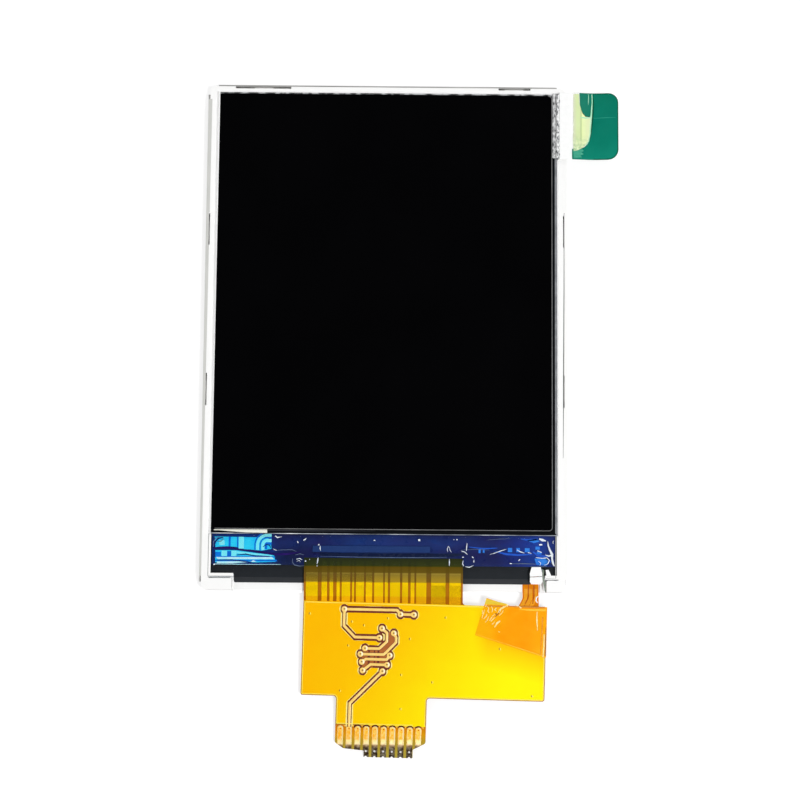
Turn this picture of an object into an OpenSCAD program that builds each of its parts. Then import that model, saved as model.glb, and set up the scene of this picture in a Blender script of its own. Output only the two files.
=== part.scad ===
// Small colour TFT display module: stamped steel tray, moulded frame, edge-lit
// backlight, two-glass liquid crystal cell and a multilayer flex circuit.
// Lies on its rear face: +Z out of the screen, +Y to the top edge of the screen.
// The origin is the centre of the rear face of the steel tray. Millimetres.

/* [Module outline] */
// Width over the steel side flanges
module_w = 42.72; // [42.2:0.02:48]
// Height over the steel end flanges
module_h = 60.26; // [59.8:0.02:66]

/* [Steel tray] */
// Sheet thickness of the tray
plate_t = 0.2; // [0.1:0.02:0.3]
// Outside radius of the bend between floor and flange
bend_r = 0.4; // [0.32:0.02:0.6]
// Height of the side and top flanges above the rear face
flange_h = 1.55; // [1.2:0.05:1.7]
// Height of the low flange at the flex end
low_flange_h = 0.8; // [0.5:0.05:0.85]
// Length of flange left out at each corner
corner_relief = 1.2; // [0.8:0.1:3]

/* [Moulded frame] */
// Clearance between the frame and the steel flanges
frame_gap = 0.06; // [0.02:0.01:0.12]
// Thickness of the frame's wall above the glass, at the top edge
top_wall = 0.6; // [0.4:0.05:1]
// Thickness of the frame's wall on each side of the glass
side_wall = 0.8; // [0.6:0.05:2]
// Thickness of the frame's corner posts below the glass
bottom_wall = 1.34; // [0.8:0.02:2]
// Clearance round the glass in its pocket
pocket_gap = 0.15; // [0.05:0.01:0.25]
// Width of the ledge that carries the glass edge
ledge_w = 0.85; // [0.6:0.05:1.4]
// How far the rim lies below the face of the colour filter glass
rim_drop = 0.15; // [0:0.05:0.6]
// Radius of the frame's outer corners
frame_corner_r = 0.5; // [0.2:0.1:1]
// Width of the left corner post
left_post_w = 3.6; // [2:0.1:6]
// Width of the right corner post
right_post_w = 2.23; // [1.6:0.01:2.6]

/* [Snap hooks] */
// Places of the hooks along both long sides, from the centre
side_hooks = [12.55, -6.5];
// Length of the relief slot round each side hook
hook_slot_len = 3.8; // [3:0.1:5]
// Hook at the left end of the top side: distance from the frame's side, length of the relief slot
top_left_hook = [6.3, 6.6];
// Hook at the right end of the top side: distance from the frame's side, length of the relief slot
top_right_hook = [6, 3.8];
// Length of the hook itself
hook_len = 2.2; // [1:0.1:2.6]
// Depth of the relief slot in the frame's outer face
hook_slot_depth = 0.25; // [0.15:0.05:0.35]
// How far the hook reaches out of the frame's outer face
hook_reach = 0.2; // [0.15:0.01:0.24]
// Height of the hook's underside above the rear face
hook_z = 0.55; // [0.5:0.05:0.6]
// Height of the hook
hook_h = 0.45; // [0.3:0.05:0.45]
// Height of the vertical face at the hook's tip
hook_tip_h = 0.13; // [0.05:0.01:0.2]
// Clearance between a hook and its window in the flange
hook_gap = 0.08; // [0.05:0.01:0.12]

/* [Backlight] */
// Thickness of the reflector film
reflector_t = 0.08; // [0.05:0.01:0.15]
// Thickness of the light guide, and height of the lamps
guide_t = 0.6; // [0.5:0.05:0.8]
// Clearance round the light guide and the films
guide_gap = 0.12; // [0.05:0.01:0.2]
// Thickness of the diffuser film
diffuser_t = 0.07; // [0.05:0.01:0.12]
// Thickness of each prism film
prism_t = 0.07; // [0.05:0.01:0.12]
// Distance from the bottom edge of the glass to the lamp edge of the light guide
guide_inset = 0.95; // [0.8:0.05:2]
// Distance from the lamp edge of the light guide to the films
film_inset = 0.6; // [0.4:0.05:1.2]
// Width of the locating ear on each side of the guide and films
ear_w = 2.4; // [1.6:0.1:4]
// How far each ear sticks out
ear_reach = 0.55; // [0.3:0.05:0.6]
// Place of the ears, from the centre
ear_y = 21.5; // [16:0.5:25]
// Width of a lamp
led_w = 3.8; // [3:0.1:4.4]
// Depth of a lamp
led_d = 1.0; // [0.8:0.05:1.2]
// Distance between lamps
led_pitch = 9.2; // [6:0.1:10]
// Clearance round a lamp in its pocket
led_gap = 0.1; // [0.05:0.01:0.15]
// Wall of the lamp's housing round its window
led_wall = 0.1; // [0.05:0.01:0.15]
// Depth of the lamp's window
led_window_d = 0.3; // [0.1:0.05:0.5]
// Thickness of the backlight flex
strip_t = 0.1; // [0.08:0.01:0.12]
// How far the backlight flex reaches past the outer lamps
strip_over = 0.6; // [0.3:0.1:1]

/* [Cell] */
// Thickness of each glass
glass_t = 0.4; // [0.2:0.05:0.5]
// Depth of the terminal ledge that the colour filter glass leaves bare
terminal_ledge = 5; // [4:0.1:6]
// Thickness of each polariser
polariser_t = 0.12; // [0.1:0.01:0.2]
// Margin of the front polariser at the top edge of the glass
polariser_top_margin = 0.2; // [0.1:0.02:1]
// Margin of the front polariser at the left edge of the glass
polariser_left_margin = 0.1; // [0.1:0.02:1]
// Margin of the front polariser at the right edge of the glass
polariser_right_margin = 0.58; // [0.1:0.02:1]
// Margin of the front polariser at the bottom edge of the colour filter glass
polariser_bottom_margin = 0.53; // [0.1:0.01:1]
// Corner radius of the front polariser
polariser_r = 0.4; // [0.2:0.1:1]
// Margin of the rear polariser inside the edge of the array glass
rear_polariser_margin = 0.5; // [0.3:0.05:1]
// Thickness of the protective film over the front polariser
film_t = 0.05; // [0.03:0.01:0.1]

/* [Rim tape] */
// Thickness of the black tape between frame and cell
tape_t = 0.06; // [0.04:0.01:0.1]
// Width of the tape inside the edge of the glass
tape_w = 1.5; // [1:0.1:1.8]
// How far the tape covers the lamp end, in from the bottom edge of the glass
tape_lamp_cover = 5.4; // [4.5:0.1:6]
// How far the tape reaches below the bottom edge of the glass
tape_reach = 0.6; // [0.3:0.05:1]
// Clearance between the tape and the right corner post
tape_post_gap = 0.3; // [0.1:0.05:0.5]
// Width of the notch in the tape beside the right post
tape_notch_w = 1.5; // [1:0.1:2]
// Depth of that notch, up from the bottom edge of the glass
tape_notch_h = 1.2; // [0.6:0.1:2]
// How far the tape's side strips end above the bottom edge of the glass
tape_corner = 0.4; // [0.2:0.1:1]

/* [Driver and sealant] */
// Length of the driver chip
chip_w = 13.6; // [10:0.1:18]
// Width of the driver chip
chip_d = 0.72; // [0.5:0.02:1]
// Thickness of the driver chip
chip_t = 0.25; // [0.15:0.05:0.3]
// Distance of the chip's centre left of the centre line
chip_offset = 1.43; // [0:0.01:3]
// Distance from the colour filter glass to the middle of the chip
chip_inset = 1.68; // [1:0.02:2.2]
// Depth of the sealant, measured from the colour filter glass
sealant_d = 3.56; // [3:0.02:3.8]
// Height of the sealant beside the colour filter glass
sealant_h = 0.36; // [0.32:0.01:0.39]
// Height of the sealant at its outer edge
sealant_edge_h = 0.12; // [0.1:0.01:0.2]
// Margin of the sealant at the side edges of the glass
sealant_margin = 0.15; // [0:0.05:0.4]

/* [Flex circuit outline] */
// Distance from the frame's right side to the left edge of the flex
flex_inset = 30.3; // [29:0.1:34]
// Width of the neck bonded to the glass
neck_w = 18.4; // [16:0.1:20]
// Width of the bond on the array glass
bond_d = 2.3; // [1.5:0.05:2.6]
// Distance from the bottom edge of the glass to the body of the flex
neck_len = 2.65; // [1.8:0.05:4]
// Width of the body
body_w = 28.1; // [24:0.1:29]
// Height of the body
body_h = 10.8; // [10:0.1:14]
// Turn of the body and tail against the neck, in degrees
body_skew = 1.2; // [0:0.1:2]
// Distance from the left edge of the body to the tail
tail_x = 4.1; // [2:0.1:6]
// Width of the tail
tail_w = 10.45; // [10:0.05:12]
// Length of the tail
tail_len = 6.9; // [5.6:0.1:9]
// Distance from the left edge of the tail to the straight part of its tip
tip_inset_l = 3.35; // [1:0.05:4]
// Distance from the straight part of the tip to the right edge of the tail
tip_inset_r = 1.45; // [1:0.05:4]
// How far the middle of the tip reaches past its chamfered corners
tip_step = 0.75; // [0.5:0.05:1.2]
// Radius of the inside corners
flex_corner_r = 0.35; // [0.2:0.05:0.8]

/* [Flex circuit layers] */
// Thickness of the film behind the body and tail
rear_film_t = 0.05; // [0.03:0.01:0.08]
// Thickness of the base film
base_t = 0.05; // [0.03:0.01:0.08]
// Thickness of the copper
copper_t = 0.035; // [0.02:0.005:0.05]
// Thickness of the cover film on the neck
neck_cover_t = 0.025; // [0.02:0.005:0.04]
// Thickness of the cover film on the body and tail
body_cover_t = 0.05; // [0.04:0.005:0.08]
// Bare length of the neck between the bond and its cover film
neck_bare = 1.75; // [1.2:0.05:2]
// Length that stays flat past the edge of the glass
flex_flat = 0.4; // [0.2:0.1:1.5]
// Radius of the bend at the edge of the glass
flex_bend_r = 8; // [4:0.5:12]
// Radius of the bend at the tip
tip_bend_r = 2.6; // [2:0.1:4]
// Slope of the tip where it touches down, in degrees
tip_slope = 42; // [30:1:50]

/* [Flex circuit copper] */
// Gaps between the conductors of the neck: place from its left edge, width
neck_gaps = [
    [1.84, 0.45], [2.84, 0.3], [3.6, 0.4], [4.28, 0.23], [5.48, 0.23], [5.93, 0.23],
    [7.07, 0.23], [8.03, 0.23], [9.28, 0.2], [9.86, 0.27], [11.26, 0.26], [12.21, 0.3],
    [12.9, 0.21], [14.45, 0.55], [16.62, 0.44]
];
// Distance from any edge of the flex to the copper
copper_margin = 0.25; // [0.15:0.05:0.4]
// Width of a signal trace
trace_w = 0.27; // [0.2:0.01:0.3]
// Clearance between a trace and the ground plane
trace_gap = 0.16; // [0.1:0.01:0.18]
// Radius of the round land at a via
via_r = 0.34; // [0.28:0.02:0.36]
// Radius of the hole in a via
via_hole_r = 0.09; // [0.06:0.01:0.12]
// Radius of a ground stitching hole
stitch_r = 0.07; // [0.05:0.01:0.1]

/* [Contacts] */
// Number of contacts
pad_count = 10; // [8:1:10]
// Distance between contacts
pad_pitch = 1.0; // [0.8:0.05:1]
// Width of a contact
pad_w = 0.68; // [0.5:0.02:0.7]
// Distance from the left edge of the tail to the first contact
pad_x = 0.6; // [0.45:0.05:1]
// Length of the contacts at the middle of the tip
pad_len = 3.55; // [3:0.05:4]
// Thickness of the plated contacts
pad_t = 0.05; // [0.04:0.005:0.07]
// Radius of the half hole at the end of a contact
half_hole_r = 0.15; // [0.1:0.01:0.2]
// Radius of the round hole near the end of a contact
tip_hole_r = 0.12; // [0.08:0.01:0.16]
// Distance from the tip to that hole
tip_hole_y = 0.7; // [0.5:0.05:1]

/* [Rear parts] */
// Places of the chip capacitors on the rear of the body
capacitors_at = [[13.6, -4.6], [13.6, -5.7], [13.6, -6.8], [5.2, -9.2]];
// Length of a chip capacitor
cap_l = 1.0; // [0.8:0.1:1.6]
// Width of a chip capacitor
cap_w = 0.5; // [0.4:0.1:0.8]
// Height of a chip capacitor
cap_h = 0.5; // [0.3:0.05:0.6]
// Length of each tinned terminal of a capacitor
cap_end_l = 0.24; // [0.15:0.01:0.3]
// How far the terminals stand out of the ceramic body
cap_step = 0.03; // [0.02:0.01:0.05]

/* [Backlight tail] */
// Distance from the frame's right side to the middle of the tail
tail_strip_inset = 4.02; // [3.8:0.01:6]
// Width of the tail
tail_strip_w = 1.85; // [1.6:0.05:2.5]
// How much wider the tail's end is, on its left side
tail_flare = 0.5; // [0.2:0.1:1]
// Length of the tail that lies behind the body
tail_strip_lap = 3.2; // [2.4:0.1:4]
// Thickness of the copper on the tail
strip_copper_t = 0.03; // [0.02:0.005:0.04]
// Width of each of the tail's three copper tracks
track_w = 0.4; // [0.2:0.02:0.46]
// Distance between the tracks
track_pitch = 0.54; // [0.5:0.01:0.6]
// Gap between the tail and the flex it is soldered to
solder_gap = 0.08; // [0.06:0.01:0.12]
// Radius of a solder joint's round head, against that of its hole
solder_head = 1.8; // [1.3:0.1:2.2]
// Radius of a solder joint
solder_r = 0.15; // [0.1:0.01:0.18]
// Distance from the end of the tail to the solder joints
solder_inset = 1; // [0.6:0.1:1.4]

/* [Polyimide tape] */
// Thickness of the amber tape
amber_t = 0.06; // [0.04:0.01:0.1]
// Width of the tape along its left end
amber_h = 4.3; // [3:0.1:6]
// Length of the tape along the flex
amber_w = 8.2; // [6:0.1:10]
// Slope of the tape against the body, in degrees
amber_turn = 16; // [0:0.5:18]
// How far the tape's left corner stands above the top edge of the body
amber_over = 0.9; // [0.2:0.1:1.5]
// How far the rest of the tape stands above the top edge of the body
amber_edge = 0.05; // [0:0.01:0.2]
// Clearance between the edge of the flex and the tape folded down its side
amber_fold_gap = 0.01; // [0.01:0.01:0.03]
// Distance from the top edge of the body to the folded part
amber_fold_y = 0.3; // [0.1:0.1:1]

/* [Pull tab] */
// Thickness of the tab and of the clear tape under it
tab_t = 0.06; // [0.04:0.01:0.1]
// Width of the green tab
tab_w = 5.5; // [4:0.1:8]
// Height of the green tab
tab_h = 8.1; // [6:0.1:10]
// Gap between the module's side and the tab
tab_out = 0.55; // [0.3:0.05:1]
// Distance from the module's top edge to the tab
tab_down = 0.8; // [0.4:0.1:4]
// How far the clear tape reaches onto the protective film
tab_lap = 7; // [1:0.1:9]
// Width of the bare patch of clear tape beside the tab
patch_w = 2.2; // [1.5:0.1:3]
// How far the clear tape reaches under the tab, past the patch
tape_under = 0.3; // [0.2:0.1:2]
// How far the middle of the tab sags
tab_sag = 0.35; // [0:0.05:0.6]
// Radius of the tab's outer corners
tab_r = 1.2; // [0.5:0.1:2]

/* [Hidden] */
$fn = 48;
// Larger than any part of the module, for cuts that pass right through
far = 100;
// Straight pieces in a rounded corner
corner_steps = 5;
// Overlap of shapes that make up one piece
weld = 0.1;

// Half sizes of the moulded frame, and the faces of its corner posts
frame_x = module_w / 2 - plate_t - frame_gap;
frame_y = module_h / 2 - plate_t - frame_gap;
left_post_x = left_post_w - frame_x;
right_post_x = frame_x - right_post_w;
top_hooks = [[top_left_hook.x - frame_x, top_left_hook.y], [frame_x - top_right_hook.x, top_right_hook.y]];

// Levels, from the rear face up
reflector_z = plate_t;
guide_z = reflector_z + reflector_t;
diffuser_z = guide_z + guide_t;
lower_prism_z = diffuser_z + diffuser_t;
upper_prism_z = lower_prism_z + prism_t;
ledge_z = upper_prism_z + prism_t;
rear_polariser_z = ledge_z + tape_t;
array_z = rear_polariser_z + polariser_t;
filter_z = array_z + glass_t;
front_polariser_z = filter_z + glass_t;
film_z = front_polariser_z + polariser_t;
tab_z = film_z + film_t;
rim_z = front_polariser_z - rim_drop;

// Pocket of the frame, the glass in it and the edge of the terminal ledge
pocket_x = frame_x - side_wall;
pocket_top = frame_y - top_wall;
pocket_bottom = bottom_wall - frame_y;
glass_x = pocket_x - pocket_gap;
glass_top = pocket_top - pocket_gap;
glass_bottom = pocket_bottom + pocket_gap;
filter_bottom = glass_bottom + terminal_ledge;

// Light guide and films
cavity_x = pocket_x - ledge_w;
cavity_top = pocket_top - ledge_w;
guide_x = cavity_x - guide_gap;
guide_top = cavity_top - guide_gap;
guide_bottom = glass_bottom + guide_inset;
cavity_bottom = guide_bottom - led_gap;
led_back = cavity_bottom - led_d;
pocket_back = led_back - led_gap;
strip_clear = 0.15;
flange_clear = 0.8;
led_places = [for (i = [0:3]) (i - 1.5) * led_pitch];

tail_strip_x = frame_x - tail_strip_inset;

// Flex circuit: the body's axes start at its top left corner
body_corner = [frame_x - flex_inset, glass_bottom - neck_len];
function on_body(p) = body_corner + [
    p.x * cos(body_skew) + p.y * sin(body_skew),
    -p.x * sin(body_skew) + p.y * cos(body_skew)
];
tip_left = tail_x + tip_inset_l;
tip_right = tail_x + tail_w - tip_inset_r;
tip_y = -body_h - tail_len;
shoulder_y = tip_y + tip_step;

// Flex circuit in side view: a flat bond, a bend, a straight slope and the bent tip.
// Heights over the rear side of the base film are called t.
flat_end = glass_bottom - flex_flat;
tip_end = on_body([tip_right, tip_y]);
bend_c = [flat_end, filter_z - flex_bend_r];
tip_inner_r = tip_bend_r - rear_film_t;
tip_c = [tip_end.y + tip_inner_r * sin(tip_slope), -tip_inner_r * cos(tip_slope)];
centres = tip_c - bend_c;
flex_slope = atan2(-centres.y, -centres.x) + asin((flex_bend_r - tip_bend_r) / norm(centres));
slope_start = bend_c + flex_bend_r * [-sin(flex_slope), cos(flex_slope)];
// Height of the flex's rear surface on the straight slope
function rear_height(y) =
    slope_start.y - (slope_start.x - y) * tan(flex_slope) - rear_film_t / cos(flex_slope);

copper_z = base_t;
cover_z = base_t + copper_t;
amber_z = cover_z + body_cover_t;

function bend_point(c, r, a) = c + r * [-sin(a), cos(a)];
function flex_path(t) = concat(
    [[filter_bottom, filter_z + t]],
    [for (i = [0:3]) bend_point(bend_c, flex_bend_r + t, flex_slope * i / 3)],
    [for (i = [0:8]) bend_point(tip_c, tip_bend_r + t, flex_slope + (tip_slope - flex_slope) * i / 8)],
    [bend_point(tip_c, tip_bend_r + t, tip_slope) - 0.5 * [cos(tip_slope), sin(tip_slope)]]
);

// Backlight tail in side view: height of its upper side
rise_start = -frame_y - 0.1;
rise_end = body_corner.y - 0.75;
strip_end = body_corner.y - tail_strip_lap;
strip_top = diffuser_z + strip_t;
function ease(s) = s * s * (3 - 2 * s);
function strip_path(t) = concat(
    [[-far, rear_height(-far) - solder_gap + t]],
    [[rise_end, rear_height(rise_end) - solder_gap + t]],
    [for (i = [7:-1:1]) let (s = i / 8)
        [rise_start + (rise_end - rise_start) * s,
         strip_top + (rear_height(rise_end) - solder_gap - strip_top) * ease(s) + t]],
    [[rise_start, strip_top + t], [0, strip_top + t]]
);

// Outline with rounded corners: r is one radius, or a list with one for each point
function corner(a, p, b, r) = r == 0 ? [p] :
    let (u = (a - p) / norm(a - p), v = (b - p) / norm(b - p),
         half = acos(u * v) / 2,
         c = p + (u + v) / norm(u + v) * r / sin(half),
         s = p + u * r / tan(half) - c,
         e = p + v * r / tan(half) - c,
         a0 = atan2(s.y, s.x),
         turn = atan2(s.x * e.y - s.y * e.x, s * e))
    [for (i = [0:corner_steps]) let (a = a0 + turn * i / corner_steps) c + r * [cos(a), sin(a)]];
function rounded(p, r) = [for (i = [0:len(p) - 1])
    each corner(p[(i + len(p) - 1) % len(p)], p[i], p[(i + 1) % len(p)], is_list(r) ? r[i] : r)];
function box_points(x0, y0, x1, y1) = [[x0, y0], [x1, y0], [x1, y1], [x0, y1]];

// Band of width w along a list of points, with mitred bends
function normal(a, b) = [a.y - b.y, b.x - a.x] / norm(b - a);
function mitre(p, i) =
    i == 0 ? normal(p[0], p[1]) :
    i == len(p) - 1 ? normal(p[i - 1], p[i]) :
    let (m = normal(p[i - 1], p[i]) + normal(p[i], p[i + 1])) 2 * m / (m * m);
function ribbon(p, w) = concat(
    [for (i = [0:len(p) - 1]) p[i] + mitre(p, i) * w / 2],
    [for (i = [len(p) - 1:-1:0]) p[i] - mitre(p, i) * w / 2]
);

// Signal traces on the body, in the body's axes; every end is a via
traces = [
    [[4.76, -0.85], [10.85, -0.8], [11.25, -1.27], [12.8, -1.28]],
    [[4.76, -0.85], [4.76, -2.75], [6.05, -4.02], [8.9, -4.02]],
    [[9.17, -2.95], [9.76, -3.45], [9.76, -4.45], [8.9, -5.28], [7.27, -5.28]],
    [[10.54, -3.47], [10.82, -3.95], [10.82, -4.5], [9.45, -5.93], [6.76, -5.95]],
    [[10.14, -6.02], [9.8, -6.5], [7.4, -6.5], [6.94, -6.84]],
    [[9.86, -7.1], [7.95, -7.1], [7.06, -7.81]]
];
// The last trace runs from its via down to the second contact
second_pad_x = tail_x + pad_x + pad_pitch;
pad_top = tip_y + pad_len;
long_trace = [[9.36, -7.85], [second_pad_x, -11.6], [second_pad_x, pad_top]];
vias = concat([[11.25, -1.27], long_trace[0]], [for (t = traces) each [t[0], t[len(t) - 1]]]);
// Part of the body between the traces that holds no ground copper
trace_field = [
    [9.76, -3.3], [10.8, -3.6], [10.8, -4.5], [9.9, -5.6], [9.9, -7.1], [7, -7.6], [7, -5.3],
    [8.9, -5.28], [9.7, -4.45]
];
// Ground stitching holes on the body and tail
stitches = [
    [0.7, -1.45], [5.6, -2.25], [7, -2.65], [9.75, -1.75], [12.35, -4.05], [16.4, -1.5],
    [5.25, -5], [11.45, -8.2], [15.05, -8.95], [22.75, -4.9], [4.45, -10.2], [11.5, -12.1], [26.6, -10.2]
];

// Places of the contacts along the tip
pad_places = [for (i = [0:pad_count - 1]) tail_x + pad_x + i * pad_pitch];
function is_long_pad(x) = x > tip_left - pad_w / 2 && x < tip_right + pad_w / 2;

module slab(points, z0, z1) {
    translate([0, 0, z0]) linear_extrude(z1 - z0) polygon(points);
}

module block(x0, y0, x1, y1, z0, z1) {
    translate([x0, y0, z0]) cube([x1 - x0, y1 - y0, z1 - z0]);
}

// Extrusion along X of an outline given as [y, z] points
module along_x(points, x0, x1) {
    translate([x0, 0, 0]) rotate([90, 0, 90]) linear_extrude(x1 - x0) polygon(points);
}

// Extrusion along Y of an outline given as [x, z] points
module along_y(points, y0, y1) {
    translate([0, y1, 0]) rotate([90, 0, 0]) linear_extrude(y1 - y0) polygon(points);
}

// Places the children on each of the two long sides
module both_sides() {
    children();
    mirror([1, 0, 0]) children();
}

// ---- Steel tray ----

// Flange section, outwards from the floor's edge: quarter bend and upright
function flange_section(edge, h) = concat(
    [[edge - bend_r, plate_t], [edge - bend_r, 0]],
    [for (i = [1:corner_steps]) let (a = 90 * i / corner_steps)
        [edge - bend_r + bend_r * sin(a), bend_r - bend_r * cos(a)]],
    [[edge, h], [edge - plate_t, h]],
    [for (i = [corner_steps:-1:1]) let (a = 90 * i / corner_steps, r = bend_r - plate_t)
        [edge - bend_r + r * sin(a), bend_r - r * cos(a)]]
);

module hook_window(half_side) {
    translate([half_side, 0, 0])
        block(-plate_t * 2, -hook_len / 2 - hook_gap, plate_t, hook_len / 2 + hook_gap,
              hook_z - hook_gap, hook_z + hook_h + hook_gap);
}

module back_plate() color("gainsboro") {
    half_w = module_w / 2;
    half_h = module_h / 2;
    floor_x = half_w - bend_r;
    floor_y = half_h - bend_r;
    slab(rounded(box_points(-floor_x, -floor_y, floor_x, floor_y), bend_r), 0, plate_t);
    both_sides() difference() {
        along_y(flange_section(half_w, flange_h), -half_h + corner_relief, half_h - corner_relief);
        for (y = side_hooks) translate([0, y, 0]) hook_window(half_w);
    }
    difference() {
        rotate([0, 0, 90])
            along_y(flange_section(half_h, flange_h), -half_w + corner_relief, half_w - corner_relief);
        for (h = top_hooks) translate([h[0], 0, 0]) rotate([0, 0, 90]) hook_window(half_h);
    }
    rotate([0, 0, -90])
        along_y(flange_section(half_h, low_flange_h), corner_relief + left_post_x, tail_x0 - flange_clear);
}

// ---- Moulded frame ----

// Hook with a sloping underside, on the +X side of the frame
module hook(half_side) {
    root = half_side - hook_slot_depth;
    tip = half_side + hook_reach;
    hook_top = hook_z + hook_h;
    along_y([[root - weld, hook_z], [root, hook_z], [tip, hook_top - hook_tip_h], [tip, hook_top],
             [root - weld, hook_top]], -hook_len / 2, hook_len / 2);
}

module hook_slot(half_side, length) {
    block(half_side - hook_slot_depth, -length / 2, half_side + 1, length / 2, hook_z - hook_gap, far);
}

module mould_frame() color("white") {
    difference() {
        slab(rounded(box_points(-frame_x, -frame_y, frame_x, frame_y), frame_corner_r), plate_t, rim_z);
        // Floor edge cleared for the inside of the tray's bends
        for (a = [0, 180]) rotate([0, 0, a]) {
            along_y(bend_clearance(frame_x), -far, far);
            rotate([0, 0, 90]) along_y(bend_clearance(frame_y), -far, far);
        }
        // Pocket for the glass, open between the two corner posts
        slab(rounded([[-pocket_x, pocket_top], [pocket_x, pocket_top], [pocket_x, pocket_bottom],
                      [right_post_x, pocket_bottom], [right_post_x, -far], [left_post_x, -far],
                      [left_post_x, pocket_bottom], [-pocket_x, pocket_bottom]],
                     [0.3, 0.3, 0.2, 0.2, 0, 0, 0.2, 0.2]), ledge_z, far);
        // Cavity for the light guide and films, with a notch for each ear
        slab(rounded(box_points(-cavity_x, cavity_bottom, cavity_x, cavity_top), 0.3), 0, far);
        both_sides()
            block(0, ear_y - ear_w / 2 - guide_gap, cavity_x + ear_reach, ear_y + ear_w / 2 + guide_gap,
                  0, ledge_z);
        // Lamp pockets, and the recess over them for the backlight flex
        for (x = led_places)
            block(x - led_w / 2 - led_gap, pocket_back, x + led_w / 2 + led_gap, 0, 0, diffuser_z);
        block(strip_x0 - guide_gap, strip_back - guide_gap, strip_x1 + guide_gap, 0, diffuser_z, ledge_z);
        block(tail_x0 - guide_gap, -far, tail_x1 + guide_gap, 0, diffuser_z, ledge_z);
        for (y = side_hooks) translate([0, y, 0]) both_sides() hook_slot(frame_x, hook_slot_len);
        for (h = top_hooks) translate([h[0], 0, 0]) rotate([0, 0, 90]) hook_slot(frame_y, h[1]);
    }
    for (y = side_hooks) translate([0, y, 0]) both_sides() hook(frame_x);
    for (h = top_hooks) translate([h[0], 0, 0]) rotate([0, 0, 90]) hook(frame_y);
}

// Chamfer along the frame's bottom edge that clears the tray's inside bend
function bend_clearance(edge) = let (c = bend_r - plate_t, out = edge + frame_gap) [
    [edge - c, 0], [edge - c, plate_t], [out, plate_t + c + frame_gap],
    [out + weld, plate_t + c], [out + weld, 0]
];

// ---- Backlight ----

function sheet_outline(bottom) = concat(
    [[-guide_x, bottom], [guide_x, bottom]],
    [[guide_x, ear_y - ear_w / 2], [guide_x + ear_reach, ear_y - ear_w / 2],
     [guide_x + ear_reach, ear_y + ear_w / 2], [guide_x, ear_y + ear_w / 2]],
    [[guide_x, guide_top], [-guide_x, guide_top]],
    [[-guide_x, ear_y + ear_w / 2], [-guide_x - ear_reach, ear_y + ear_w / 2],
     [-guide_x - ear_reach, ear_y - ear_w / 2], [-guide_x, ear_y - ear_w / 2]]
);
sheet_radii = [0.3, 0.3, 0.1, 0.15, 0.15, 0.1, 0.3, 0.3, 0.1, 0.15, 0.15, 0.1];

module reflector_film() color("whitesmoke")
    slab(rounded(sheet_outline(guide_bottom), sheet_radii), reflector_z, guide_z);

module light_guide() color("lightcyan")
    slab(rounded(sheet_outline(guide_bottom), sheet_radii), guide_z, diffuser_z);

module diffuser_film() color("white")
    slab(rounded(sheet_outline(guide_bottom + film_inset), sheet_radii), diffuser_z, lower_prism_z);

module lower_prism_film() color("lavender")
    slab(rounded(sheet_outline(guide_bottom + film_inset), sheet_radii), lower_prism_z, upper_prism_z);

module upper_prism_film() color("aliceblue")
    slab(rounded(sheet_outline(guide_bottom + film_inset), sheet_radii), upper_prism_z, ledge_z);

// Side-lit lamp: housing with a sloped window that faces the light guide
module led(x) color("lemonchiffon") translate([x, 0, 0]) difference() {
    mouth = led_w / 2 - 2 * led_wall;
    deep = mouth - led_window_d;
    window_back = cavity_bottom - led_window_d;
    block(-led_w / 2, led_back, led_w / 2, cavity_bottom, guide_z, diffuser_z);
    slab([[-mouth, cavity_bottom + weld], [-mouth, cavity_bottom], [-deep, window_back], [deep, window_back],
          [mouth, cavity_bottom], [mouth, cavity_bottom + weld]], guide_z + led_wall, diffuser_z - led_wall);
}

// Backlight flex: a strip over the lamps and a tail that rises behind the main flex
tail_x0 = tail_strip_x - tail_strip_w / 2;
tail_x1 = tail_strip_x + tail_strip_w / 2;
strip_x0 = led_places[0] - led_w / 2 - strip_over;
strip_x1 = max(led_places[3] + led_w / 2 + strip_over, tail_x1);
strip_back = pocket_back - strip_clear;
strip_front = guide_bottom + film_inset / 2;
flare_start = rise_start - 0.6;
flare_end = rise_end + 0.3;
tail_outline = rounded([
    [tail_x0, strip_back + weld], [tail_x0, flare_start], [tail_x0 - tail_flare, flare_end],
    [tail_x0 - tail_flare, strip_end], [tail_x1, strip_end], [tail_x1, strip_back + weld]
], [0, 0.8, 0.8, 0.3, 0.3, 0]);
solder_places = [for (s = [-1, 1])
    [tail_strip_x - tail_flare + s * track_pitch, strip_end + solder_inset]];

// Layer of the tail between two heights over its upper side
module strip_layer(t0, t1) {
    front = strip_path(t1);
    along_x(concat(strip_path(t0), [for (i = [len(front) - 1:-1:0]) front[i]]), 0, far);
}

module solder_holes() {
    for (p = solder_places) translate([p.x, p.y, -far / 2]) cylinder(r = solder_r, h = far);
}

module backlight_flex() color("orange") difference() {
    union() {
        slab(rounded(box_points(strip_x0, strip_back, strip_x1, strip_front), 0.2), diffuser_z, strip_top);
        intersection() {
            strip_layer(-strip_t, 0);
            slab(tail_outline, 0, far);
        }
    }
    solder_holes();
}

// Three copper tracks on the tail; they follow its flare
module backlight_tracks() color("goldenrod") difference() {
    intersection() {
        strip_layer(0, strip_copper_t);
        for (i = [-1:1]) {
            x = tail_strip_x + i * track_pitch;
            slab(ribbon([[x, rise_start + tail_flare], [x, flare_start], [x - tail_flare, flare_end],
                         [x - tail_flare, strip_end + tail_flare]], track_w), 0, far);
        }
    }
    solder_holes();
}

// Solder that fills each hole of the tail, with a round head on its rear side
module solder_joints() color("silver") {
    for (p = solder_places) {
        intersection() {
            translate([p.x, p.y, 0]) cylinder(r = solder_r, h = far);
            strip_layer(-strip_t, solder_gap);
        }
        intersection() {
            translate([p.x, p.y, rear_height(p.y) - solder_gap - strip_t]) sphere(r = solder_head * solder_r);
            strip_layer(-strip_t - far, -strip_t);
        }
    }
}

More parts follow.
